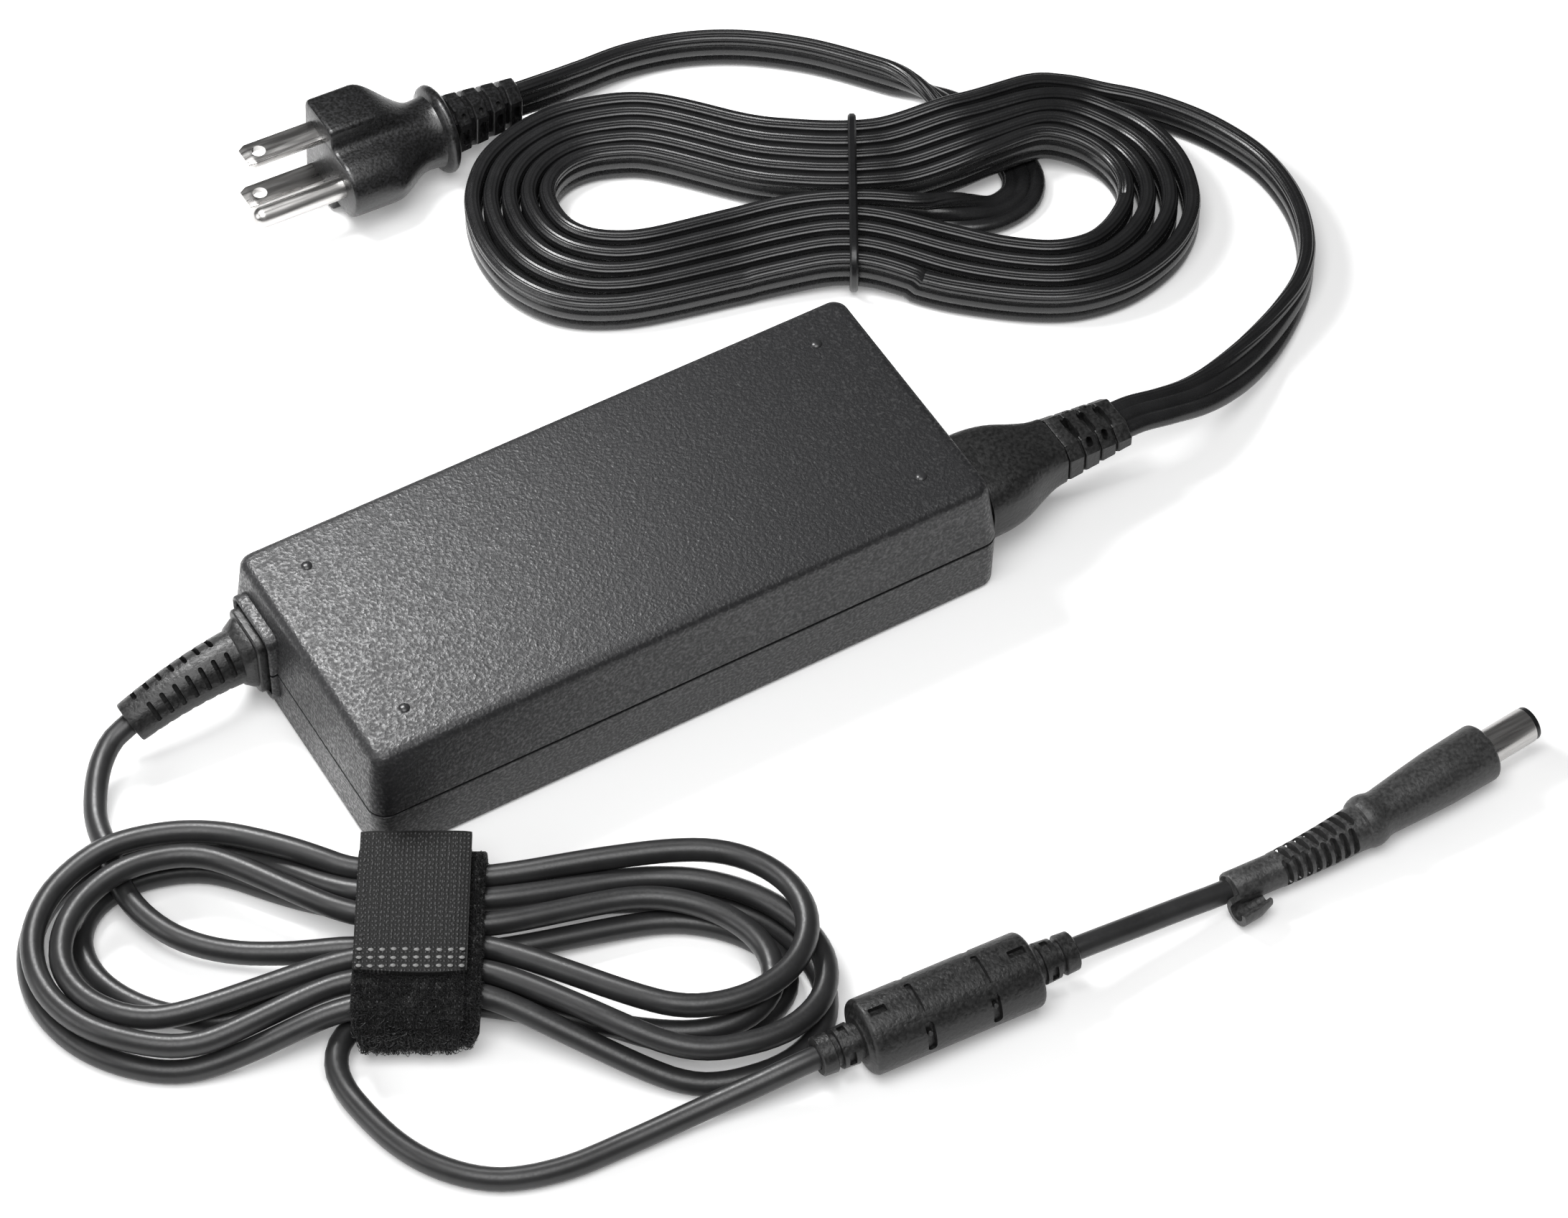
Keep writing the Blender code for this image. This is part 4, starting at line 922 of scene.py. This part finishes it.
def connector_body(wall, mat):
    """Nose in the inlet, thin rim and smooth grip."""
    stations = [(wall + x, w, h, r) for x, w, h, r in (*CONNECTOR_NOSE, *CONNECTOR_RIM)]
    stations += [*eased([(wall + x, w, h, r) for x, w, h, r in CONNECTOR_GRIP], 0.9)]
    return loft("grip", [at_inlet(x, rounded(w, h, r, 9)) for x, w, h, r in stations], mat)


def connector(mats):
    """Mains connector: its body, and a chamfered relief of four steps with slots."""
    mat = mats["moulded_pvc"]
    wall = LENGTH / 2 + 0.3
    body = connector_body(wall, mat)
    first, pitch = wall + 21, CONNECTOR_STEP[-1][0]
    rings = []
    for k in range(4):
        rings += collar(first + pitch * k, 13.4 - 0.3 * k, 10.4 - 0.9 * k, CONNECTOR_STEP, INLET_Y, INLET_Z)
    relief = loft("relief", rings, mat)
    centre = frame_at((0.0, INLET_Y, INLET_Z))
    for angle in (0, 180):
        places = [on_side(centre, first + 0.3 + pitch * k, angle, 4.0) for k in (1, 2, 3)]
        pockets(relief, places, 1.9, 6.0, 2.2)
    for angle in (50, -50, 130, -130):
        places = [on_side(centre, first + 2.2 + pitch * k, angle, 5.6 - 0.5 * k) for k in (1, 2)]
        pockets(relief, places, 1.5, 2.2, 1.5)
    settle_in(joined("mains_connector", [body, relief]), "mains_lead", "moulded_pvc", "mains_connector_body")


def boot(mats):
    """DC boot: flange plate, oval step, then a tapering boot with staggered rows of narrow slots."""
    mat = mats["moulded_pvc"]
    wall = -LENGTH / 2

    def at(t):
        """Placement a share t of the way along the boot, which droops towards its end."""
        return frame_at((wall - 6.0 - 23.6 * t, PORT_Y - 1.4 * t, PORT_Z - 4.2 * t * t), radians(3),
                        radians(20) * t)

    def radius_at(t):
        """The boot's radius there."""
        return 5.7 - 1.2 * t

    def ring_at(t, depth, radius):
        """A round ring there, set back by a depth."""
        return moved(at(t), across_x(depth, rounded(2 * radius, 2 * radius, 9, 9)))

    rings = [at_port(wall + x, w, h, r, 9) for x, w, h, r in BOOT_BASE]
    rings += [ring_at(k / BOOT_ROWS, 0.0, radius_at(k / BOOT_ROWS)) for k in range(BOOT_ROWS + 1)]
    rings += [ring_at(1.0, depth, radius) for depth, radius in BOOT_END]
    piece = loft("dc_boot", rings, mat)
    for angles, shift in (((50, -130), 0.0), ((-36, 144), 0.5)):
        for k in range(7):
            t = (k + 0.75 + shift) / 8.4
            places = [on_side(at(t), 0.0, angle, radius_at(t)) for angle in angles]
            pockets(piece, places, 1.0, 5.6 - 1.2 * t, 1.7)
    settle_in(piece, "brick", "moulded_pvc", "dc_strain_relief")


# ---------------------------------------------------------------- mains plug

BLADE, BLADE_PITCH = (17.5, 6.35, 1.5), 12.7           # (length, width, thickness) of a blade
EARTH_LENGTH, EARTH_RADIUS = 21.4, 2.4
PIN_ROOT = 5.0                                         # how deep the pins go into the moulding
FINGER_DISC = ((24.2, 8.0), (25.0, 8.3), (25.4, 9.0), (25.7, 9.6), (26.2, 10.0), (26.8, 10.1), (27.3, 9.9),
               (27.7, 9.4), (28.0, 8.4), (28.2, 7.2), (28.4, 6.0))     # (along, radius)
# One step of its relief, as for the connector's
PLUG_STEP = ((0.0, 2.6, 2.4, 1.6), (1.2, 2.6, 2.4, 1.6), (1.25, 0.4, 0.4, 2.4), (1.5, 0.0, 0.0, 2.5),
             (4.1, 0.4, 0.1, 2.5), (4.4, 0.9, 0.6, 2.4))


def arc_points(centre, bend, start, stop, steps=6):
    """Points on an arc, angles in degrees."""
    angles = [radians(start + (stop - start) * k / (steps - 1)) for k in range(steps)]
    return [(centre[0] + bend * cos(a), centre[1] + bend * sin(a)) for a in angles]


def plug_section(grow, blend, neck):
    """Outline of the pin block with the earth lobe beside it, blending to a round neck.

    Across is towards the blades; grow enlarges the block, and neck is the neck's radius.
    """
    block, lobe, side = 11.9 + grow, 7.0 + grow, 11.2 + grow
    half = [(side, 0.0), (side, block * 0.3), (side, block * 0.6)]
    half += arc_points((side - 1.7, block - 1.7), 1.7, 0, 90)
    half += [(6.5, block), (3.0, block)] + arc_points((-0.2, block - 1.2), 1.2, 90, 180, 5)
    half += arc_points((-4.2, lobe + 2.6), 2.6, 0, -90) + arc_points((EARTH_OFFSET, 0.0), lobe, 90, 180, 9)
    spans = [0.0] + [hypot(b[0] - a[0], b[1] - a[1]) for a, b in zip(half, half[1:])]
    lengths = np.cumsum(spans) / sum(spans)
    ring = [(a + (neck * cos(pi * s) - a) * blend, b + (neck * sin(pi * s) - b) * blend)
            for (a, b), s in zip(half, lengths)]
    return ring + [(a, -b) for a, b in ring[-2:0:-1]]


def plug_body(place, mat):
    """Pin block with a softened face, waist, and glossy round finger disc."""
    stations = [(0.0, -0.9, 0.0, 8.0), (0.15, -0.4, 0.0, 8.0), (0.5, -0.1, 0.0, 8.0), (1.0, 0.0, 0.0, 8.0)]
    for k in range(13):
        t = k / 12
        stations.append((10.5 + 11.5 * t, 0.0, t * t * (3 - 2 * t), 8.0 - 0.15 * t))
    stations += [(x, 0.0, 1.0, r) for x, r in FINGER_DISC]
    rings = [across_x(x, plug_section(grow, blend, neck)) for x, grow, blend, neck in stations]
    return loft("block", rings, mat, place)


def plug_relief(place, mat):
    """Four chamfered steps behind the finger disc, with slots at their sides and corners."""
    first, pitch = 28.3, PLUG_STEP[-1][0]
    rings = []
    for k in range(4):
        rings += collar(first + pitch * k, 10.8 - 0.9 * k, 12.8 - 0.3 * k, PLUG_STEP)
    relief = loft("relief", rings, mat, place)
    for angle in (90, -90):
        places = [on_side(place, first + pitch * k + 2.9, angle, 5.3 - 0.45 * k) for k in range(4)]
        pockets(relief, places, 1.5, 4.4, 1.3)
    for angle in (40, -40, 140, -140):
        places = [on_side(place, first + pitch * k + 2.9, angle, 6.4 - 0.35 * k) for k in range(3)]
        pockets(relief, places, 1.2, 1.8, 1.4)
    return relief


def plug_pins(place, mat):
    """The two flat blades, each with a tapered tip and a hole, and the round earth pin."""
    length, width, thick = BLADE
    for name, up in (("plug_blade_line", BLADE_PITCH / 2), ("plug_blade_neutral", -BLADE_PITCH / 2)):
        rings = [across_x(x, rounded(width * a, thick * b, 0.25, 4), BLADE_OFFSET, up) for x, a, b in
                 ((-length, 0.80, 0.42), (-length + 0.5, 0.86, 0.62), (-length + 1.5, 1.0, 0.96),
                  (-length + 1.9, 1.0, 1.0), (PIN_ROOT, 1.0, 1.0))]
        piece = loft(f"{name}_metal", rings, mat, place)
        hole = [flat(z, disc(1.6, 28), -length + 3.6, BLADE_OFFSET) for z in (up - 3, up + 3)]
        cut(piece, loft("hole", hole, mat, place))
        settle_in(piece, "mains_lead", "nickel", name)
    radius = EARTH_RADIUS
    dome = [(radius * (1 - sin(a)) - EARTH_LENGTH, radius * cos(a)) for a in
            [radians(88 - 11 * k) for k in range(9)]]
    rings = [across_x(x, disc(max(r, 0.1), 32), EARTH_OFFSET) for x, r in dome + [(PIN_ROOT, radius)]]
    settle_in(loft("earth_pin_metal", rings, mat, place), "mains_lead", "nickel", "plug_earth_pin")


def mains_plug(mats):
    """Moulded plug on its side, with its pins towards -X."""
    place = frame_at((PLUG_FACE, PLUG_Y, PLUG_Z), 0.0, PLUG_TILT)
    mat = mats["plug_pvc"]
    parts = [plug_body(place, mat), plug_relief(place, mat)]
    settle_in(joined("mains_plug", parts), "mains_lead", "plug_pvc", "plug_body")
    plug_pins(place, mats["nickel"])


# ---------------------------------------------------------------- DC plug and ferrite bead

# Profiles along the DC plug as (distance from its tip, radius); away from the tip is negative
DC_BARREL = ((-12.0, 3.7), (-1.3, 3.7), (-1.1, 3.62), (-1.05, 3.3), (-1.2, 3.05), (-12.0, 3.05))
DC_RING = ((-1.3, 3.55), (-0.3, 3.6), (-0.08, 3.5), (0.0, 3.3), (-0.08, 2.75), (-0.3, 2.6), (-3.0, 2.6),
           (-3.0, 3.0))
DC_FRONT = ((-12.6, 3.75), (-12.3, 4.2), (-12.3, 5.3), (-12.42, 5.7), (-12.75, 6.02), (-13.2, 6.15))
DC_REAR = ((-24.0, 5.95), (-30.0, 5.55), (-35.0, 5.15), (-38.2, 4.9), (-39.4, 4.95), (-40.3, 5.25),
           (-41.2, 5.5), (-42.2, 5.56), (-43.2, 5.4), (-44.0, 5.05), (-44.3, 4.75), (-45.6, 4.6),
           (-52.0, 4.3), (-58.0, 4.0), (-63.6, 3.78), (-64.0, 3.66), (-68.6, 3.65), (-73.4, 3.6),
           (-73.9, 3.4), (-74.0, 3.0), (-73.2, 2.5))
# How far the moulding bends sideways, as (distance, sideways)
DC_BEND = ((-74.0, 3.2), (-68.6, 2.3), (-63.6, 1.5), (-58.0, 0.9), (-52.0, 0.4), (-45.4, 0.1), (-44.0, 0.0))
DC_SLOT_PITCH = 2.15
FERRITE_HALF, FERRITE_RADIUS, STUB_RADIUS = 18.5, 7.8, 4.3
FERRITE_PIN = ((-0.3, 0.6), (0.5, 0.6), (0.65, 0.4))    # (height, radius)
# One stub, its groove and the start of the barrel, as (distance beyond the barrel's end, radius)
FERRITE_STUB = ((9.4, 2.5), (9.4, 3.6), (9.1, 4.0), (6.5, 4.15), (6.3, 3.9), (6.25, 3.2), (5.2, 3.2),
                (5.1, 4.1), (1.9, STUB_RADIUS), (1.8, 3.6), (0.6, 3.6), (0.5, 5.0), (0.0, 5.6), (-0.15, 6.6))


def dc_grip(place, mat):
    """The plug's grip, collar, slotted relief and sleeve, which bends sideways with the cord."""
    xs, ys = zip(*DC_BEND)

    def bent(x):
        """Placement at a distance along the plug, moved sideways with the bend."""
        side = float(np.interp(x, xs, ys))
        return place @ Matrix.Translation((x, side, -0.012 * abs(x) * (side > 0)))

    body = loft("dc_grip", [moved(bent(x), across_x(0, disc(r, 40))) for x, r in DC_FRONT + DC_REAR], mat)
    for angles, shift in (((-22, 158), 0.0), ((62, -118), 0.5)):
        for k in range(8):
            x = -46.8 - DC_SLOT_PITCH * (k + shift)
            places = [on_side(bent(x), 0.0, angle, 4.5 - 0.035 * (-x - 46)) for angle in angles]
            pockets(body, places, 1.35, 5.8, 1.9)
    return body


def cord_hook(place, mat):
    """The open hook under the sleeve that holds the wound cord."""
    arc = [radians(150 + 250 * k / 16) for k in range(17)]
    outline = [(3.1 * cos(a), 3.1 * sin(a)) for a in arc] + [(1.9 * cos(a), 1.9 * sin(a)) for a in arc[::-1]]
    rings = [across_x(x, [(a * s, b * s) for a, b in outline], -1.9, -1.3) for x, s in
             ((-76.2, 0.97), (-75.9, 1.0), (-72.0, 1.0), (-68.8, 0.72))]
    return loft("hook", rings, mat, place)


def dc_plug(mats):
    """Bright barrel with its dark tip ring, and the moulding behind them."""
    place = frame_at(DC_TIP, DC_TURN, DC_TILT)
    barrel = turned("dc_barrel", DC_BARREL, mats["nickel"], place, endless=True)
    settle_in(barrel, "brick", "nickel", "dc_plug_sleeve")
    ring = turned("dc_tip_ring", DC_RING, mats["tie_pvc"], place, endless=True)
    settle_in(ring, "brick", "moulded_pvc", "dc_plug_tip_ring")
    # grip and hook take the lighter copy of the moulding, which paints on the light that falls on the grip
    parts = [dc_grip(place, mats["painted_light_grip_pvc"]), cord_hook(place, mats["painted_light_grip_pvc"])]
    settle_in(joined("dc_plug", parts), "brick", "moulded_pvc", "dc_plug_body")


def ferrite_bead(mats):
    """Moulded bead: slots on top, ovals with pins at the side, and a ribbed stub at each end."""
    place = frame_at(FERRITE_PLACE, FERRITE_TURN)
    mat = mats["moulded_pvc"]
    half, radius, bend = FERRITE_HALF, FERRITE_RADIUS, 1.15
    profile = [(-half - x, r) for x, r in FERRITE_STUB]
    profile += [(-half + 1.3 - bend * sin(a), radius - bend + bend * cos(a)) for a in
                [radians(75 - 15 * k) for k in range(6)]]
    profile += [(-x, r) for x, r in profile[::-1]]
    casing = turned("ferrite_bead", profile, mat, place, 64, endless=True)
    oval_x = (-6.8, 7.4)
    pockets(casing, [on_side(place, x, 2, radius) for x in (-15.0, 15.0)], 3.6, 1.7, 1.2, 0.15)
    for angle in (4, -176):
        pockets(casing, [on_side(place, x, angle, radius) for x in (-7.2, 7.2)], 1.3, 7.0, 1.6, 0.35)
    for angle in (72, -72):
        pockets(casing, [on_side(place, x, angle, radius) for x in oval_x], 1.9, 6.8, 1.5)
    for side in (1, -1):
        places = [on_side(place, side * (half + 3.5), angle, STUB_RADIUS) for angle in (-10, 80, 170, 260)]
        pockets(casing, places, 1.5, 3.2, 1.1, 0.2)
    spots = [on_side(place, x, angle, radius - 0.9) for x in oval_x for angle in (66, -66)]
    pins = [loft("pin", [moved(spot, flat(z, disc(r, 16))) for z, r in FERRITE_PIN], mat) for spot in spots]
    settle_in(joined("ferrite_bead", [casing, *pins]), "brick", "moulded_pvc", "ferrite_casing")


# ---------------------------------------------------------------- strap and tie

TAIL_ROWS, TAIL_COLUMNS, TAIL_UNDERSIDE = 25, 15, 13.7
# Where the face that carries the pile starts, its height and its bend
PILE_START, PILE_LEVEL, PILE_BEND = -12.0, 13.35, 5.6


def band(name, half_width, waist, thick, mat, centre, shift=0.0, edge=0.35, pinch=0.0):
    """A closed band round a hank's waist, with rounded edges; pinch narrows it down its near side.

    The waist is what it goes round: near side, far side, bottom and top.
    """
    place = frame_at((*centre, 0.0), HANK_TURN)
    low, high, under, top = waist
    mid_y, mid_z = (low + high) / 2, (under + top) / 2
    section = [(-half_width, 0.3 * thick), (-half_width + edge, 0.0), (half_width - edge, 0.0),
               (half_width, 0.3 * thick), (half_width, 0.7 * thick), (half_width - edge, thick),
               (-half_width + edge, thick), (-half_width, 0.7 * thick)]
    rings = []
    for u, out in section:
        outline = rounded(high - low + 2 * out, top - under + 2 * out, 4.6 + out, 12)
        ring = []
        for _, a, b in across_x(0.0, outline, mid_y, mid_z):
            near_side = min(max((low + 7.0 - a) / 7.0, 0.0), 1.0) * min(max((top - b) / 9.0, 0.0), 1.0)
            ring.append((u * (1 - pinch * near_side) + shift, a, b))
        rings.append(ring)
    return loft(name, rings, mat, place, endless=True)


def beads(places, size, mat, name):
    """Small flattened ellipsoids at placements, as one mesh."""
    half_length, half_width, height = size
    bead = [[(half_length * scale * cos(a), half_width * scale * sin(a), height * lift)
             for a in [pi / 4 * k for k in range(8)]]
            for lift, scale in ((-0.3, 0.9), (0.35, 0.95), (0.8, 0.6), (1.0, 0.15))]
    return gathered([[moved(place, ring) for ring in bead] for place in places], name, mat)


def tail_rows():
    """Top surface of the strap's tail: rows of (u, v, z) from its hinge to its slightly curved end."""
    rows = []
    for k in range(TAIL_ROWS):
        t = k / (TAIL_ROWS - 1)
        row = []
        for j in range(TAIL_COLUMNS):
            s = j / (TAIL_COLUMNS - 1)
            end = -13.6 + 1.1 * (2 * s - 1) ** 2 + 0.25 * sin(5 * s)
            edge = 1.0 - (2 * s - 1) ** 8
            row.append((-10.6 + 21.8 * s, 20.2 + (end - 20.2) * t, 14.75 + 0.4 * edge - 0.25 * t ** 6))
        rows.append(row)
    return rows


def tail_cloth(place, mat):
    """The tail as one closed sheet: its curved top, a flat underside, and a wall round the border."""
    rows, columns = tail_rows(), TAIL_COLUMNS
    top = [v for row in rows for v in row]
    verts = top + [(u, v, TAIL_UNDERSIDE) for u, v, _ in top]
    faces, count = [], len(top)
    for i in range(len(rows) - 1):
        for j in range(columns - 1):
            a = i * columns + j
            faces.append((a, a + 1, a + columns + 1, a + columns))
            faces.append((count + a, count + a + columns, count + a + columns + 1, count + a + 1))
    border = list(range(columns)) + [i * columns + columns - 1 for i in range(1, len(rows))]
    border += [count - 1 - j for j in range(1, columns)] + [i * columns for i in range(len(rows) - 2, 0, -1)]
    faces += [(a, b, count + b, count + a) for a, b in zip(border, border[1:] + border[:1])]
    return add_mesh("tail", verts, faces, mat, place, sharp=50)


def tail_marks(place, mats, rng):
    """The bright yarn stitches all over the tail, and the three rows of weld dots near its end."""
    stitches = []
    for column in range(17):
        for v in np.arange(-6.2, 19.0, 1.5):
            u = 1.15 * (column - 8) + rng.normal(0, 0.1)
            spot = (u, v + 0.75 * (column % 2) + rng.normal(0, 0.15), 15.1)
            stitches.append(place @ Matrix.Translation(spot))
    dots = []
    for row in range(3):
        for u in np.arange(-9.6, 10.4, 2.2):
            dots.append(place @ Matrix.Translation((u, -8.2 - 1.9 * row + rng.normal(0, 0.08), 15.0)))
    return [beads(stitches, (0.14, 0.4, 0.15), mats["thread"], "stitches"),
            beads(dots, (0.6, 0.42, 0.16), mats["weld"], "welds")]


def strap(mats, rng):
    """Hook-and-loop strap: wrap, offset under-layer, marked tail, and its loop pile."""
    mat = mats["webbing"]
    wrap = band("strap_band", 11.0, (-23.2, 19.0, 1.6, 12.0), 1.4, mat, DC_HANK_CENTRE, pinch=0.2)
    settle_in(wrap, "brick", "webbing", "strap_wrap")
    under = band("strap_under_layer", 10.4, (-22.9, 18.7, 1.8, 11.9), 0.9, mat, DC_HANK_CENTRE, shift=3.6,
                 pinch=0.22)
    settle_in(under, "brick", "webbing")
    place = frame_at((*DC_HANK_CENTRE, 0.0), HANK_TURN)
    tail = joined("strap_tail_cloth", [tail_cloth(place, mat), *tail_marks(place, mats, rng)])
    settle_in(tail, "strap_flap", "webbing", "strap_tail")
    settle_in(pile(place, mats["pile"], rng), "brick", "webbing")


def near_face(distance):
    """Point (v, z) and direction (v, z) outwards on the strap's near side, by the distance along it."""
    start, level, bend = PILE_START, PILE_LEVEL, PILE_BEND
    corner = start + 24.5 - bend
    if distance < corner:
        return (start - distance, level), (0.0, 1.0)
    angle = (distance - corner) / bend
    if angle < pi / 2:
        out_v, out_z = -sin(angle), cos(angle)
        return (start - corner + bend * out_v, level - bend * (1 - out_z)), (out_v, out_z)
    return (start - corner - bend, level - bend - (angle - pi / 2) * bend), (-1.0, 0.0)


def fibre(place, foot, outwards, turn, reach, height):
    """Rings of one thin arched fibre that stands on its foot and leans the way it is turned."""
    tangent = Vector((0.0, outwards.z, -outwards.y))
    along = Vector((cos(turn), 0, 0)) + sin(turn) * tangent
    side = outwards.cross(along) * 0.075
    rings = []
    for k in range(6):
        a = pi * k / 5
        p = foot + along * (reach * cos(a)) + outwards * (height * sin(a) - 0.15)
        rings.append(moved(place, (p + side, p - side, p + outwards * 0.12)))
    return rings


def pile(place, mat, rng):
    """Loop pile showing past the tail's end and along the under-layer's edge, as fine fibre loops."""
    # each spot is across the strap, the distance along its near side, and how deep it is sunk
    spots = [(rng.uniform(-10.9, 10.9), rng.uniform(0.0, 19.6), 0.0) for _ in range(2300)]
    spots += [(rng.uniform(10.6, 14.1), rng.uniform(-28.0, 19.0), 0.5) for _ in range(900)]
    fibres = []
    for u, distance, sunk in spots:
        on_top = (PILE_START - distance, PILE_LEVEL), (0.0, 1.0)
        (v, z), (out_v, out_z) = near_face(distance) if distance > 0 else on_top
        if v > 16.0:
            continue
        low = min(max((distance - 10.0) / 12.0, 0.0), 1.0)
        foot = Vector((u * (1 - 0.2 * low), v - sunk * out_v, z - sunk * out_z))
        height, reach, turn = rng.uniform(0.35, 1.0), rng.uniform(0.25, 0.7), rng.uniform(0, 2 * pi)
        stray = 1.9 if rng.uniform() < 0.03 else 1.0
        fibres.append(fibre(place, foot, Vector((0.0, out_v, out_z)), turn, reach * stray, height * stray))
    return gathered(fibres, "strap_pile", mat)


def tie(mats):
    """The plain band that holds the mains hank."""
    piece = band("hank_band", 0.9, (-25.6, 19.0, 1.6, 12.0), 1.5, mats["tie_pvc"], MAINS_HANK_CENTRE,
                 edge=0.4)
    settle_in(piece, "mains_lead", "tie_pvc", "hank_tie")


# ---------------------------------------------------------------- assembly


def finish_cad_nodes(nodes, record, mats):
    """Give each CAD node that still shows its procedural material."""
    slots = {part["node"]: part["material_slot"] for part in record["subparts"]}
    for name, obj in nodes.items():
        for k in range(len(obj.material_slots)):
            obj.material_slots[k].material = mats[slots[name]]


def build():
    """Every piece of the object, with its looks."""
    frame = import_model()
    camera()
    mats = materials()
    dc, dc_line = dc_cord(mats)
    mains, mains_path = mains_cord(mats)
    studio()
    finish_cad_nodes(frame["nodes"], frame["record"], mats)
    brick(mats)
    connector(mats)
    boot(mats)
    mains_plug(mats)
    dc_plug(mats)
    ferrite_bead(mats)
    strap(mats, np.random.default_rng(7))
    tie(mats)


build()
